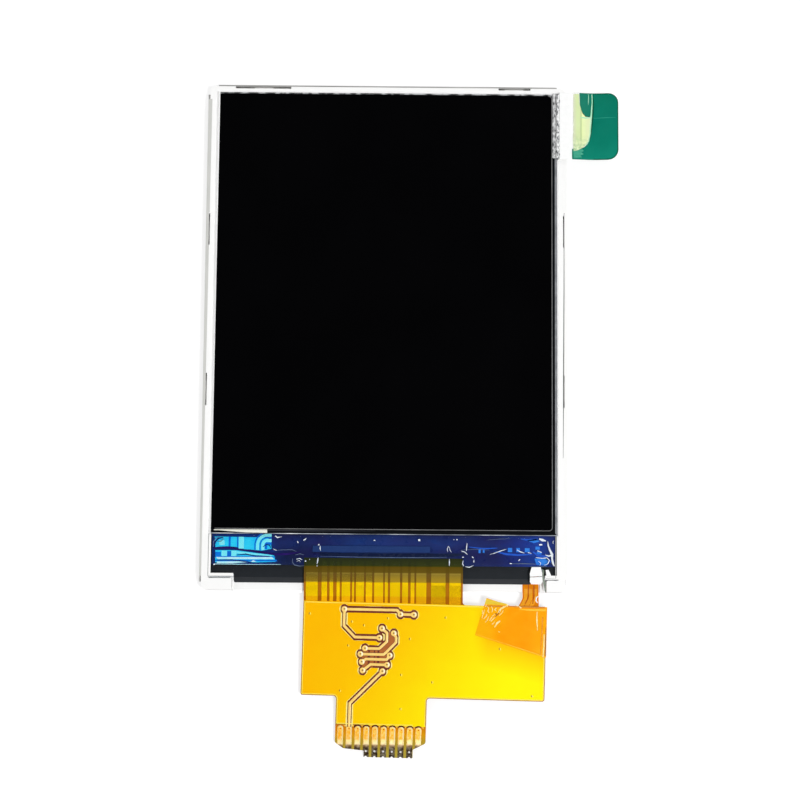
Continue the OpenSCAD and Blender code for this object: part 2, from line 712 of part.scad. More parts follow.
// ---- Cell ----

tape_out = glass_bottom - tape_reach;
tape_end_l = left_post_x + pocket_gap;
tape_end_r = right_post_x - tape_post_gap;
notch_x = tape_end_r - tape_notch_w;
notch_top = glass_bottom + tape_notch_h;
tape_side = glass_bottom + tape_corner;

// Black tape under the edge of the cell; its lower end covers the lamps
module rim_tape() color("black") difference() {
    slab(rounded([
        [-glass_x, glass_top], [glass_x, glass_top], [glass_x, tape_side], [tape_end_r, tape_side],
        [tape_end_r, notch_top], [notch_x, notch_top], [notch_x, tape_out],
        [tape_end_l, tape_out], [tape_end_l, tape_side], [-glass_x, tape_side]
    ], [0.3, 0.3, 0.2, 0.1, 0.1, 0.1, 0.2, 0.2, 0.1, 0.2]), ledge_z, rear_polariser_z);
    slab(rounded(box_points(-glass_x + tape_w, glass_bottom + tape_lamp_cover, glass_x - tape_w,
                            glass_top - tape_w), 0.4), 0, far);
}

module rear_polariser() color("dimgray")
    slab(rounded(box_points(-glass_x + rear_polariser_margin, filter_bottom, glass_x - rear_polariser_margin,
                            glass_top - rear_polariser_margin), polariser_r), rear_polariser_z, array_z);

module array_glass() color("darkslategray")
    slab(rounded(box_points(-glass_x, glass_bottom, glass_x, glass_top), 0.15), array_z, filter_z);

module colour_filter_glass() color("slategray")
    slab(rounded(box_points(-glass_x, filter_bottom, glass_x, glass_top), 0.15), filter_z, front_polariser_z);

polariser_right = glass_x - polariser_right_margin;
polariser_points = rounded(box_points(polariser_left_margin - glass_x, filter_bottom + polariser_bottom_margin,
                                      polariser_right, glass_top - polariser_top_margin), polariser_r);

module front_polariser() color("black")
    slab(polariser_points, front_polariser_z, film_z);

module protective_film() color("black")
    slab(polariser_points, film_z, tab_z);

// ---- Driver chip and sealant ----

chip_y = filter_bottom - chip_inset;

module driver_chip() color("steelblue")
    block(-chip_offset - chip_w / 2, chip_y - chip_d / 2, -chip_offset + chip_w / 2, chip_y + chip_d / 2,
          filter_z, filter_z + chip_t);

// Sealant with a rounded back that falls from the colour filter glass to its outer edge
module ledge_sealant() color("midnightblue") {
    outer = filter_bottom - sealant_d;
    drop = sealant_h - sealant_edge_h;
    side = glass_x - sealant_margin;
    difference() {
        intersection() {
            along_x(concat([[filter_bottom, filter_z]],
                           [for (i = [0:7]) let (s = i / 7)
                               [filter_bottom - sealant_d * s, filter_z + sealant_h - drop * s * s]],
                           [[outer, filter_z]]), -side, side);
            slab(rounded(box_points(-side, outer, side, filter_bottom), [0.5, 0.5, 0.05, 0.05]), 0, far);
        }
        block(-chip_offset - chip_w / 2, chip_y - chip_d / 2, -chip_offset + chip_w / 2, chip_y + chip_d / 2,
              0, filter_z + chip_t);
        block(neck_left, -far, neck_right, bond_top, 0, filter_z + base_t + copper_t);
    }
}

// ---- Flex circuit ----

bond_top = glass_bottom + bond_d;
neck_left = body_corner.x;
neck_right = neck_left + neck_w;

// Outline of the body and tail, in the body's axes, drawn in by a margin
function body_points(m) = [
    [m, -m], [body_w - m, -m], [body_w - m, -body_h + m], [tail_x + tail_w - m, -body_h + m],
    [tail_x + tail_w - m, shoulder_y + 1], [tip_right, shoulder_y + 0.25],
    [tip_right, tip_y], [tip_left, tip_y], [tip_left, shoulder_y],
    [tail_x + 1, shoulder_y + 0.2], [tail_x + m, shoulder_y + 0.85],
    [tail_x + m, -body_h + m], [m, -body_h + m]
];
body_radii = [0.05, 0.3, 0.3, flex_corner_r, 0.4, 0.1, 0.08, 0.08, 0.1, 0.3, 0.4, flex_corner_r, 0.2];
function place(points) = [for (p = points) on_body(p)];
// Plan of the body and tail, cut off below a line across the tail
function cut_off(points, y) = place([for (p = rounded(points, body_radii)) [p.x, max(p.y, y)]]);

// Outline of the whole flex: the neck joins the top edge of the body
neck_foot = [neck_right, body_corner.y - neck_w * tan(body_skew)];
flex_points = rounded(
    concat([[neck_left, bond_top], [neck_right, bond_top], neck_foot],
           [for (i = [1:12]) on_body(body_points(0)[i])], [body_corner]),
    concat([0.05, 0.05, flex_corner_r], [for (i = [1:12]) body_radii[i]], [0]));

// Layer of the flex between two heights over its base, cut to the plan of the children
module flex_layer(t0, t1) {
    back = flex_path(t0);
    front = flex_path(t1);
    intersection() {
        along_x(concat(back, [for (i = [len(front) - 1:-1:0]) front[i]]), -far / 2, far / 2);
        translate([0, 0, -1]) linear_extrude(far / 10) children();
    }
}

// Half holes at the ends of the long contacts, and a round hole above each
module tip_holes() {
    for (x = pad_places) if (is_long_pad(x)) {
        translate(on_body([x, tip_y])) circle(r = half_hole_r, $fn = 12);
        translate(on_body([x, tip_y + tip_hole_y])) circle(r = tip_hole_r, $fn = 12);
    }
}

module flex_plan() {
    difference() {
        polygon(flex_points);
        tip_holes();
    }
}

module flex_base() color("goldenrod")
    flex_layer(0, base_t) flex_plan();

module flex_rear_film() color("darkgoldenrod")
    flex_layer(-rear_film_t, 0) difference() {
        polygon(place(rounded(body_points(0), body_radii)));
        tip_holes();
    }

// Neck conductors: what the gaps leave of the neck's width, each down to the top edge of the body
module neck_conductors() color("gold") {
    gap_edges = [for (g = neck_gaps) each [g[0] - g[1] / 2, g[0] + g[1] / 2]];
    edges = concat([copper_margin], gap_edges, [neck_w]);
    flex_layer(copper_z, cover_z)
        for (i = [0:2:len(edges) - 2]) {
            right = min(edges[i + 1], neck_w - copper_margin);
            if (edges[i] < right)
                polygon(box_points(neck_left + edges[i], body_corner.y - edges[i] * tan(body_skew),
                                   neck_left + right, bond_top - copper_margin));
        }
}

module trace_plan(extra) {
    for (t = concat(traces, [long_trace])) polygon(place(ribbon(t, trace_w + 2 * extra)));
    for (v = vias) translate(on_body(v)) circle(r = via_r + extra, $fn = 12);
}

module ground_plane() color("gold")
    flex_layer(copper_z, cover_z) difference() {
        polygon(cut_off(body_points(copper_margin), pad_top - 0.12));
        trace_plan(trace_gap);
        pad_plan(trace_gap);
        polygon(place(trace_field));
        for (s = stitches) translate(on_body(s)) circle(r = stitch_r, $fn = 8);
    }

module signal_traces() color("khaki")
    flex_layer(copper_z, cover_z) difference() {
        trace_plan(0);
        for (v = vias) translate(on_body(v)) circle(r = via_hole_r, $fn = 8);
        polygon(place(box_points(tail_x, tip_y, tail_x + tail_w, pad_top)));
    }

// Contacts with rounded tops, grown by a clearance
module pad_plan(extra) {
    half = pad_w / 2 + extra;
    for (x = pad_places)
        polygon(place(rounded(box_points(x - half, tip_y, x + half, pad_top + extra),
                              [0, 0, 0.9 * half, 0.9 * half])));
}

// Contacts; the long ones end in plated half holes
module contact_pads() color("khaki")
    flex_layer(copper_z, copper_z + pad_t) intersection() {
        difference() {
            pad_plan(0);
            tip_holes();
            for (x = pad_places) translate(on_body([x, pad_top - via_r])) circle(r = via_hole_r, $fn = 8);
        }
        polygon(place(rounded(body_points(0), body_radii)));
    }

module neck_cover_film() color("orange") {
    top = bond_top - neck_bare;
    flex_layer(cover_z, cover_z + neck_cover_t)
        polygon([[neck_left, top], [neck_right, top], neck_foot, body_corner]);
}

module body_cover_film() color("orange")
    flex_layer(cover_z, amber_z)
        polygon(cut_off(body_points(0), pad_top + trace_gap / 2));

// Chip capacitors: a ceramic body between two slightly larger terminals
module capacitors() color("peru")
    for (p = capacitors_at) {
        half_l = cap_l / 2;
        half_w = cap_w / 2;
        body = half_w - cap_step;
        flex_layer(-rear_film_t - cap_h + cap_step, -rear_film_t)
            polygon(place(box_points(p.x - half_l, p.y - body, p.x + half_l, p.y + body)));
        for (x = [p.x - half_l, p.x + half_l - cap_end_l])
            flex_layer(-rear_film_t - cap_h, -rear_film_t)
                polygon(place(box_points(x, p.y - half_w, x + cap_end_l, p.y + half_w)));
    }

// Amber tape laid askew over the right end of the body and folded down its side
module amber_tape() color("darkorange") {
    left = body_w - amber_w;
    right = body_w + amber_t;
    slope = tan(amber_turn);
    top_left = left + amber_h * slope;
    bottom_right = amber_over - amber_h - amber_w * slope;
    flex_layer(amber_z, amber_z + amber_t)
        polygon(place(rounded([
            [top_left, amber_over], [top_left + amber_over / slope * 0.9, amber_edge], [right, amber_edge],
            [right, bottom_right], [left, amber_over - amber_h]
        ], [0.05, 0.3, 0.05, 0.05, 0.1])));
    flex_layer(-rear_film_t, amber_z)
        polygon(place(box_points(body_w + amber_fold_gap, bottom_right + amber_t, right, -amber_fold_y)));
}

// ---- Pull tab ----

tab_x0 = module_w / 2 + tab_out;
tab_x1 = tab_x0 + tab_w;
tab_top = module_h / 2 - tab_down;
tab_bottom = tab_top - tab_h;
tab_start = polariser_right - tab_lap;
tab_steps = 10;

// Height of the tab over its length: level on the film, then a shallow sag
function tab_height(s) = tab_z - tab_sag * sin(180 * s) * sin(180 * s);
function tab_path(t) = concat([[tab_start, tab_z + t]],
    [for (i = [0:tab_steps]) let (s = i / tab_steps)
        [module_w / 2 + (tab_x1 + 0.2 - module_w / 2) * s, tab_height(s) + t]]);

module tab_layer(t0, t1) {
    front = tab_path(t1);
    intersection() {
        along_y(concat(tab_path(t0), [for (i = [len(front) - 1:-1:0]) front[i]]), 0, far);
        linear_extrude(far) children();
    }
}

// Bare patch, with one deep round corner towards the tab and a lobe of the tab at its top
patch_x = tab_x0 + patch_w;
patch_bottom = tab_bottom + tab_h * 0.155;
patch_lobe = tab_top - tab_h * 0.345;
function patch_points() = rounded([
    [tab_x0 - 1, tab_top + 1], [tab_x0 + 0.9, tab_top + 1], [tab_x0 + 0.95, patch_lobe],
    [patch_x, patch_lobe], [patch_x - 0.15, patch_bottom], [tab_x0 - 1, patch_bottom]
], [0, 0, 0.9, 0, 1.5, 0]);

module tab_tape() color("palegoldenrod")
    tab_layer(0, tab_t)
        polygon(rounded(box_points(tab_start, tab_bottom, patch_x + tape_under, tab_top), [0.3, 0, 0, 0.3]));

module pull_tab() color("teal")
    tab_layer(tab_t, 2 * tab_t) difference() {
        polygon(rounded(box_points(tab_x0, tab_bottom, tab_x1, tab_top), [0.1, tab_r, tab_r, 0.1]));
        polygon(patch_points());
    }

back_plate();
mould_frame();
reflector_film();
light_guide();
led(led_places[0]);  // led_1
led(led_places[1]);  // led_2
led(led_places[2]);  // led_3
led(led_places[3]);  // led_4
backlight_flex();
backlight_tracks();
solder_joints();
diffuser_film();
lower_prism_film();
upper_prism_film();
rim_tape();
rear_polariser();
array_glass();
colour_filter_glass();
front_polariser();
protective_film();
tab_tape();
pull_tab();
driver_chip();
ledge_sealant();
flex_base();
flex_rear_film();
neck_conductors();
ground_plane();
signal_traces();
contact_pads();
neck_cover_film();
body_cover_film();
capacitors();
amber_tape();
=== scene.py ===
"""Looks of a small TFT display module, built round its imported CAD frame.

Metres, in the CAD frame: +Z out of the screen, +Y to the top edge of the screen.
"""
import math

import bmesh
import bpy
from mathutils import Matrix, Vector, noise
from mathutils.bvhtree import BVHTree
from mathutils.kdtree import KDTree


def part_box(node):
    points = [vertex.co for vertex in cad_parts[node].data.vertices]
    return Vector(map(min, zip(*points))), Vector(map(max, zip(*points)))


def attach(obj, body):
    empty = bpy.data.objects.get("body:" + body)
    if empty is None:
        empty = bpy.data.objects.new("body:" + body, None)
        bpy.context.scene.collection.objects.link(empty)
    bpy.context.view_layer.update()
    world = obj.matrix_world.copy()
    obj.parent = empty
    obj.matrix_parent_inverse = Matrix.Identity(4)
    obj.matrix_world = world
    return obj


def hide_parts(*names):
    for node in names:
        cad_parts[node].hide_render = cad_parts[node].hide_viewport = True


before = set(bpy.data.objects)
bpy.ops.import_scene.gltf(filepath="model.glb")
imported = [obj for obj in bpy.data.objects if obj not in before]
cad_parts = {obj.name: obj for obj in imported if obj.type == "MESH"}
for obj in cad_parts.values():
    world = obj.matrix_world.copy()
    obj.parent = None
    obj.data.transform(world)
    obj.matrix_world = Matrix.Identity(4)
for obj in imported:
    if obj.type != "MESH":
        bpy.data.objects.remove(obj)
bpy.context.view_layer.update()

MM = 0.001
# Turn of the flex body against its neck
BODY_TURN = math.radians(1.2)

# ---- Camera, light and floor ----

CAMERA_PLACE = (1.5 * MM, -36.2 * MM, 233.9 * MM)
CAMERA_TURN = (7.02, -0.12, 0.46)
LENS = 90
FLOOR_DROP = 0.02 * MM


def add_camera():
    data = bpy.data.cameras.new("camera")
    data.lens = LENS
    data.sensor_width = 36
    data.clip_start = 0.005
    camera = bpy.data.objects.new("camera", data)
    camera.location = CAMERA_PLACE
    camera.rotation_euler = [math.radians(a) for a in CAMERA_TURN]
    bpy.context.scene.collection.objects.link(camera)
    bpy.context.scene.camera = camera


def add_lamp(name, place, size, power, aim=(0, 0, 0)):
    data = bpy.data.lights.new(name, "AREA")
    data.shape = "RECTANGLE"
    data.size, data.size_y = size
    data.energy = power
    lamp = bpy.data.objects.new(name, data)
    lamp.location = place
    lamp.rotation_euler = (Vector(aim) - Vector(place)).to_track_quat("-Z", "Y").to_euler()
    bpy.context.scene.collection.objects.link(lamp)


def add_world():
    """Soft light from the sides, with a dark patch overhead that polished black faces mirror."""
    world = bpy.data.worlds.new("studio")
    bpy.context.scene.world = world
    world.use_nodes = True
    tree = world.node_tree
    background = tree.nodes["Background"]
    split = tree.nodes.new("ShaderNodeSeparateXYZ")
    ramp = tree.nodes.new("ShaderNodeValToRGB")
    place = tree.nodes.new("ShaderNodeTexCoord").outputs["Generated"]
    tree.links.new(place, split.inputs[0])
    tree.links.new(split.outputs["Z"], ramp.inputs["Fac"])
    set_stops(ramp, [(0.0, (0.75, 0.75, 0.75, 1)), (0.8, (0.5, 0.5, 0.5, 1)), (0.95, (0.02, 0.02, 0.02, 1))])
    tree.links.new(ramp.outputs["Color"], background.inputs["Color"])
    background.inputs["Strength"].default_value = 0.6


def add_floor():
    reach = 2.0
    data = bpy.data.meshes.new("floor")
    corners = [(-reach, -reach), (reach, -reach), (reach, reach), (-reach, reach)]
    data.from_pydata([(x, y, -FLOOR_DROP) for x, y in corners], [], [(0, 1, 2, 3)])
    floor = bpy.data.objects.new("floor", data)
    bpy.context.scene.collection.objects.link(floor)
    paper = Surface("white_paper", (0.42, 0.42, 0.42, 1), rough=0.9, specular=0.1)
    tree = paper.tree
    path = tree.nodes.new("ShaderNodeLightPath")
    seen = tree.nodes.new("ShaderNodeMath")
    seen.operation = "MAXIMUM"
    tree.links.new(path.outputs["Is Camera Ray"], seen.inputs[0])
    either = tree.nodes.new("ShaderNodeMath")
    either.operation = "MAXIMUM"
    tree.links.new(path.outputs["Is Glossy Ray"], either.inputs[0])
    tree.links.new(path.outputs["Is Transmission Ray"], either.inputs[1])
    tree.links.new(either.outputs[0], seen.inputs[1])
    strength = tree.nodes.new("ShaderNodeMath")
    strength.operation = "MULTIPLY"
    strength.inputs[1].default_value = 0.68
    tree.links.new(seen.outputs[0], strength.inputs[0])
    paper.shader.inputs["Emission Color"].default_value = (1, 1, 1, 1)
    tree.links.new(strength.outputs[0], paper.shader.inputs["Emission Strength"])
    data.materials.append(paper.material)


# ---- Materials ----

def srgb(r, g, b):
    """Linear colour from the 0 to 255 values of a screen colour."""
    return tuple((c / 12.92 if c < 0.04 else ((c + 0.055) / 1.055) ** 2.4)
                 for c in (r / 255, g / 255, b / 255)) + (1.0,)


def set_stops(ramp, stops):
    """Gives a Color Ramp its stops: pairs of position and colour."""
    elements = ramp.color_ramp.elements
    while len(elements) > 1:
        elements.remove(elements[-1])
    elements[0].position, elements[0].color = stops[0]
    for position, colour in stops[1:]:
        elements.new(position).color = colour


class Surface:
    """A Principled material, and the procedural nodes that drive it."""

    def __init__(self, name, colour, rough, metal=0.0, specular=0.5, coat=0.0):
        self.material = bpy.data.materials.new(name)
        self.material.use_nodes = True
        self.tree = self.material.node_tree
        self.shader = self.tree.nodes["Principled BSDF"]
        self.output = self.tree.nodes["Material Output"]
        self.set(**{"Base Color": colour, "Roughness": rough, "Metallic": metal,
                    "Specular IOR Level": specular, "Coat Weight": coat})

    def set(self, **values):
        for socket, value in values.items():
            self.shader.inputs[socket].default_value = value

    def node(self, kind, **inputs):
        made = self.tree.nodes.new(kind)
        for socket, value in inputs.items():
            made.inputs[socket].default_value = value
        return made

    def link(self, source, target):
        self.tree.links.new(source, target)

    def place(self):
        return self.node("ShaderNodeTexCoord").outputs["Object"]

    def noise(self, grain, detail=3.0, stretch=(1, 1, 1)):
        """Noise whose lumps are grain metres across, drawn out by stretch."""
        mapping = self.node("ShaderNodeMapping")
        mapping.inputs["Scale"].default_value = [1 / (grain * s) for s in stretch]
        self.link(self.place(), mapping.inputs["Vector"])
        made = self.node("ShaderNodeTexNoise", Scale=1.0, Detail=detail)
        self.link(mapping.outputs[0], made.inputs["Vector"])
        return made.outputs["Fac"]

    def along(self, start, end):
        """0 at the point start and 1 at end, in the plane of the module."""
        start, end = Vector((*start, 0)), Vector((*end, 0))
        step = end - start
        shift = self.node("ShaderNodeVectorMath")
        shift.operation = "SUBTRACT"
        shift.inputs[1].default_value = start
        self.link(self.place(), shift.inputs[0])
        dot = self.node("ShaderNodeVectorMath")
        dot.operation = "DOT_PRODUCT"
        dot.inputs[1].default_value = step / step.length_squared
        self.link(shift.outputs[0], dot.inputs[0])
        return dot.outputs["Value"]

    def ramp(self, source, stops, sharp=False):
        made = self.node("ShaderNodeValToRGB")
        set_stops(made, stops)
        if sharp:
            made.color_ramp.interpolation = "CONSTANT"
        self.link(source, made.inputs["Fac"])
        return made.outputs["Color"]

    def mixed(self, first, second, amount):
        """Second colour over the first, by a socket or number."""
        mix = self.node("ShaderNodeMix")
        mix.data_type = "RGBA"
        for socket, value in ((mix.inputs[0], amount), (mix.inputs[6], first), (mix.inputs[7], second)):
            if isinstance(value, bpy.types.NodeSocket):
                self.link(value, socket)
            else:
                socket.default_value = value
        return mix.outputs[2]

    def spread(self, source, low, high):
        made = self.node("ShaderNodeMapRange")
        made.inputs["To Min"].default_value = low
        made.inputs["To Max"].default_value = high
        self.link(source, made.inputs["Value"])
        return made.outputs["Result"]

    def product(self, first, second):
        """First value times the second, which may be a number."""
        made = self.node("ShaderNodeMath")
        made.operation = "MULTIPLY"
        self.link(first, made.inputs[0])
        if isinstance(second, bpy.types.NodeSocket):
            self.link(second, made.inputs[1])
        else:
            made.inputs[1].default_value = second
        return made.outputs[0]

    def glow(self, strength):
        """Painted light: the surface glows white, so that it stays pale in shade."""
        self.set(**{"Emission Color": (1, 1, 1, 1), "Emission Strength": strength})
        return self

    def colour(self, source):
        self.link(source, self.shader.inputs["Base Color"])

    def rough(self, source, low, high):
        self.link(self.spread(source, low, high), self.shader.inputs["Roughness"])

    def bump(self, source, depth):
        made = self.node("ShaderNodeBump", Distance=depth)
        self.link(source, made.inputs["Height"])
        self.link(made.outputs["Normal"], self.shader.inputs["Normal"])

    def see_through(self, tint, solid):
        """Lets what lies behind show through, tinted; solid is the share of the surface's own shader."""
        clear = self.node("ShaderNodeBsdfTransparent")
        clear.inputs["Color"].default_value = tint
        mix = self.node("ShaderNodeMixShader")
        if isinstance(solid, bpy.types.NodeSocket):
            self.link(solid, mix.inputs[0])
        else:
            mix.inputs[0].default_value = solid
        self.link(clear.outputs[0], mix.inputs[1])
        self.link(self.shader.outputs[0], mix.inputs[2])
        self.link(mix.outputs[0], self.output.inputs["Surface"])
        return self


def mottled(name, dark, light, grain, rough, bump=0.002 * MM, metal=0.0, specular=0.2, coat=0.0):
    """Plain finish: a colour that wanders between two tones, uneven gloss and a fine bump."""
    made = Surface(name, light, sum(rough) / 2, metal, specular, coat)
    cloud = made.noise(grain)
    made.colour(made.mixed(dark, light, cloud))
    made.rough(made.noise(grain / 3), *rough)
    made.bump(made.noise(grain / 8), bump)
    return made


def steel():
    made = Surface("brushed_steel", srgb(222, 221, 218), 0.35, metal=1.0)
    streak = made.noise(0.12 * MM, 4.0, (60, 1, 1))
    made.colour(made.mixed(srgb(196, 196, 194), srgb(232, 231, 228), streak))
    made.rough(streak, 0.28, 0.5)
    made.bump(streak, 0.001 * MM)
    return made


# Tint of the light that amber films mirror
AMBER_SHEEN = (1.0, 0.78, 0.12, 1.0)


def body_film():
    """Amber cover film over copper: deeper at the top left and under the tape, yellow at the bottom right."""
    made = Surface("amber_cover_film", srgb(253, 200, 4), 0.35, specular=0.15)
    made.set(**{"Specular Tint": AMBER_SHEEN})
    tone = made.ramp(made.along(on_body(2.7, -2), on_body(21.2, -13.1)), [
        (0.0, srgb(253, 184, 1)), (0.23, srgb(253, 190, 1)), (0.4, srgb(253, 200, 2)), (0.53, srgb(253, 212, 2)),
        (0.67, srgb(253, 225, 2)), (0.85, srgb(254, 239, 3)), (1.0, srgb(255, 250, 4))])
    cloud = made.ramp(made.noise(3 * MM), [(0.3, srgb(250, 178, 2)), (0.75, srgb(255, 234, 4))])
    below_tape = made.ramp(made.along(on_body(23.5, -4.3), on_body(22.6, -7.5)), [
        (0.0, (1, 1, 1, 1)), (0.35, (0.6, 0.6, 0.6, 1)), (1.0, (0, 0, 0, 1))])
    right = made.ramp(made.along(on_body(19.6, 0), on_body(21.4, 0)), [(0.0, (0, 0, 0, 1)), (1.0, (1, 1, 1, 1))])
    warm = made.mixed(made.mixed(tone, cloud, 0.1), srgb(253, 194, 2), made.product(below_tape, right))
    made.colour(warm)
    made.rough(made.noise(1.2 * MM), 0.3, 0.45)
    made.bump(made.noise(1.5 * MM), 0.003 * MM)
    return made


def film_by_level(name, stops, rough=(0.25, 0.45)):
    """Film whose tone changes down the flex; stops are Y in millimetres and colour, from the top down."""
    made = Surface(name, stops[-1][1], 0.35, specular=0.1)
    made.set(**{"Specular Tint": AMBER_SHEEN})
    top, foot = stops[0][0], stops[-1][0]
    tone = made.ramp(made.along((0, top * MM), (0, foot * MM)),
                     [((top - y) / (top - foot), colour) for y, colour in stops])
    grain = made.noise(0.5 * MM, 4.0, (1, 6, 1))
    made.colour(made.mixed(tone, (0.02, 0.01, 0.0, 1), made.spread(grain, 0.0, 0.08)))
    made.rough(grain, *rough)
    return made


def contact_gold():
    """Plated contacts, with painted reflection: a highlight band where the tail starts to bend, dark on the steep tip.
    """
    made = Surface("contact_gold", srgb(250, 170, 40), 0.3, metal=0.3, specular=0.3)
    low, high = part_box("contact_pads")
    # The ramp paints shade at the top ends, a highlight band where the tail bends and a dark reflection on the tip.
    tone = made.ramp(made.along((0, high.y), (0, low.y)), [
        (0.0, srgb(120, 40, 5)), (0.05, srgb(252, 196, 70)), (0.12, srgb(252, 174, 20)),
        (0.4, srgb(250, 166, 14)), (0.46, srgb(255, 214, 130)), (0.55, srgb(244, 216, 160)),
        (0.61, srgb(130, 96, 50)), (0.68, srgb(64, 44, 20)), (1.0, srgb(36, 20, 12))])
    blotch = made.noise(0.3 * MM, 4.0)
    made.colour(made.mixed(tone, srgb(255, 240, 200), made.spread(blotch, -0.35, 0.5)))
    made.rough(blotch, 0.2, 0.5)
    made.bump(blotch, 0.01 * MM)
    return made


def black_film(name, rough):
    """Polished black of the switched-off display."""
    made = Surface(name, (0.0012, 0.0012, 0.0015, 1), rough, specular=0.12)
    cloud = made.noise(9 * MM)
    made.colour(made.mixed((0.0008, 0.0008, 0.001, 1), (0.0018, 0.0018, 0.0022, 1), cloud))
    made.rough(made.noise(2 * MM), rough * 0.8, rough * 1.3)
    return made


def clear(name, tint, solid, rough):
    made = Surface(name, (0.02, 0.02, 0.02, 1), rough, specular=0.6)
    made.rough(made.noise(0.8 * MM), rough * 0.7, rough * 1.4)
    return made.see_through(tint, solid)


def node_materials():
    """Material of each CAD node."""
    white = mottled("white_plastic", srgb(250, 250, 249), srgb(253, 253, 252), 2 * MM, (0.4, 0.55), specular=0.3)
    optical = mottled("optical_film", srgb(226, 232, 238), srgb(240, 243, 246), 4 * MM, (0.25, 0.4))
    housing = mottled("lamp_housing", srgb(236, 216, 130), srgb(246, 232, 160), 0.8 * MM, (0.3, 0.5))
    amber = mottled("amber_film", srgb(214, 140, 14), srgb(240, 172, 24), 1.5 * MM, (0.3, 0.42))
    glass = mottled("dark_glass", (0.0045, 0.005, 0.006, 1), (0.008, 0.009, 0.011, 1), 3 * MM, (0.06, 0.12),
                    bump=0.0)
    by_node = {
        "back_plate": steel(),
        "mould_frame": white,
        "reflector_film": mottled("reflector", srgb(245, 247, 250), srgb(250, 251, 252), 5 * MM, (0.2, 0.3)),
        "light_guide": mottled("acrylic", srgb(214, 236, 238), srgb(228, 244, 246), 4 * MM, (0.08, 0.15)),
        "led_1": housing, "led_2": housing, "led_3": housing, "led_4": housing,
        "backlight_flex": backlight_film(),
        "backlight_tracks": mottled("track_copper", srgb(234, 150, 24), srgb(246, 172, 34), 0.6 * MM, (0.3, 0.45),
                                    specular=0.15),
        "solder_joints": mottled("solder", srgb(190, 190, 188), srgb(220, 220, 216), 0.3 * MM, (0.15, 0.3),
                                 metal=1.0),
        "diffuser_film": optical, "lower_prism_film": optical, "upper_prism_film": optical,
        "rim_tape": mottled("black_tape", srgb(33, 36, 40), srgb(45, 48, 52), 0.9 * MM, (0.4, 0.6), 0.004 * MM,
                            specular=0.2),
        "rear_polariser": black_film("rear_black_film", 0.2),
        "array_glass": clear("array_glass_clear", (0.93, 0.95, 0.97, 1), 0.12, 0.05),
        "colour_filter_glass": glass,
        "front_polariser": black_film("polariser_black", 0.1),
        "protective_film": black_film("protective_black", 0.08),
        "driver_chip": mottled("bare_silicon", srgb(36, 58, 108), srgb(46, 68, 120), 1.2 * MM, (0.1, 0.2)),
        "flex_base": base_film(),
        "flex_rear_film": amber,
        "neck_conductors": neck_copper(),
        "ground_plane": mottled("film_copper", srgb(240, 180, 40), srgb(250, 196, 60), 2 * MM, (0.3, 0.4)),
        "signal_traces": mottled("trace_copper", srgb(246, 206, 110), srgb(252, 220, 130), 1 * MM, (0.3, 0.4)),
        "contact_pads": contact_gold(),
        "neck_cover_film": clear("neck_cover_clear", (1.0, 1.0, 0.99, 1), 0.005, 0.3),
        "body_cover_film": body_film(),
        "amber_tape": amber_tape(),
        "pull_tab": tab_film(),
        "capacitors": mottled("capacitor_ceramic", srgb(150, 112, 74), srgb(182, 146, 104), 0.25 * MM,
                              (0.35, 0.5)),
    }
    for node, finish in by_node.items():
        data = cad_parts[node].data
        data.materials.clear()
        data.materials.append(finish.material)


def backlight_film():
    made = Surface("backlight_film", srgb(232, 130, 20), 0.3, specular=0.15)
    made.set(**{"Specular Tint": AMBER_SHEEN})
    cloud = made.noise(0.8 * MM, 3.0, (1, 4, 1))
    made.colour(made.mixed(srgb(212, 108, 6), srgb(240, 146, 16), cloud))
    made.rough(cloud, 0.25, 0.4)
    made.bump(cloud, 0.003 * MM)
    return made


def neck_copper():
    return film_by_level("neck_copper", [
        (-26.3, srgb(44, 50, 10)), (-27.0, srgb(54, 60, 16)), (-27.1, srgb(92, 72, 16)), (-27.75, srgb(102, 82, 24)),
        (-27.85, srgb(154, 132, 52)), (-28.0, srgb(142, 120, 44)), (-28.85, srgb(174, 142, 36)),
        (-28.92, srgb(255, 212, 2)), (-30.45, srgb(255, 208, 2)), (-30.55, srgb(252, 184, 6)),
        (-31.1, srgb(252, 180, 6))])


def base_film():
    """Bare base film of the flex: on the neck between the conductors, and between the contacts."""
    return film_by_level("base_film", [
        (-26.0, srgb(40, 46, 10)), (-27.0, srgb(48, 54, 14)), (-27.1, srgb(88, 68, 16)), (-27.75, srgb(94, 74, 22)),
        (-27.85, srgb(108, 82, 34)), (-28.85, srgb(116, 82, 24)), (-28.92, srgb(178, 108, 14)),
        (-30.45, srgb(180, 110, 14)), (-30.55, srgb(166, 90, 6)), (-31.1, srgb(170, 94, 6)),
        (-44.8, srgb(196, 104, 4)), (-45.6, srgb(214, 128, 6)), (-46.4, srgb(220, 154, 14)),
        (-47.0, srgb(184, 150, 40)), (-47.6, srgb(176, 150, 50)), (-49.0, srgb(196, 176, 70))])


# ---- Geometry helpers ----

def finish_piece(name, bm, material, slot, replaces=(), smooth=40):
    """Turns a bmesh into a piece of the object that rides on the only body."""
    bmesh.ops.recalc_face_normals(bm, faces=bm.faces)
    data = bpy.data.meshes.new(name)
    bm.to_mesh(data)
    bm.free()
    data.materials.append(material.material)
    data.shade_smooth()
    data.set_sharp_from_angle(angle=math.radians(smooth))
    piece = bpy.data.objects.new(name, data)
    bpy.context.scene.collection.objects.link(piece)
    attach(piece, "root")
    if replaces:
        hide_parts(*replaces)
    return piece


def cut_cells(bm, axis, cell):
    """Cuts a flat mesh across an axis every cell metres, so that it can bend."""
    places = [v.co[axis] for v in bm.verts]
    low, high = min(places), max(places)
    direction = Vector((0, 0, 0))
    direction[axis] = 1
    for i in range(1, int((high - low) / cell) + 1):
        geometry = bm.verts[:] + bm.edges[:] + bm.faces[:]
        bmesh.ops.bisect_plane(bm, geom=geometry, dist=1e-8, plane_co=direction * (low + i * cell),
                               plane_no=direction)


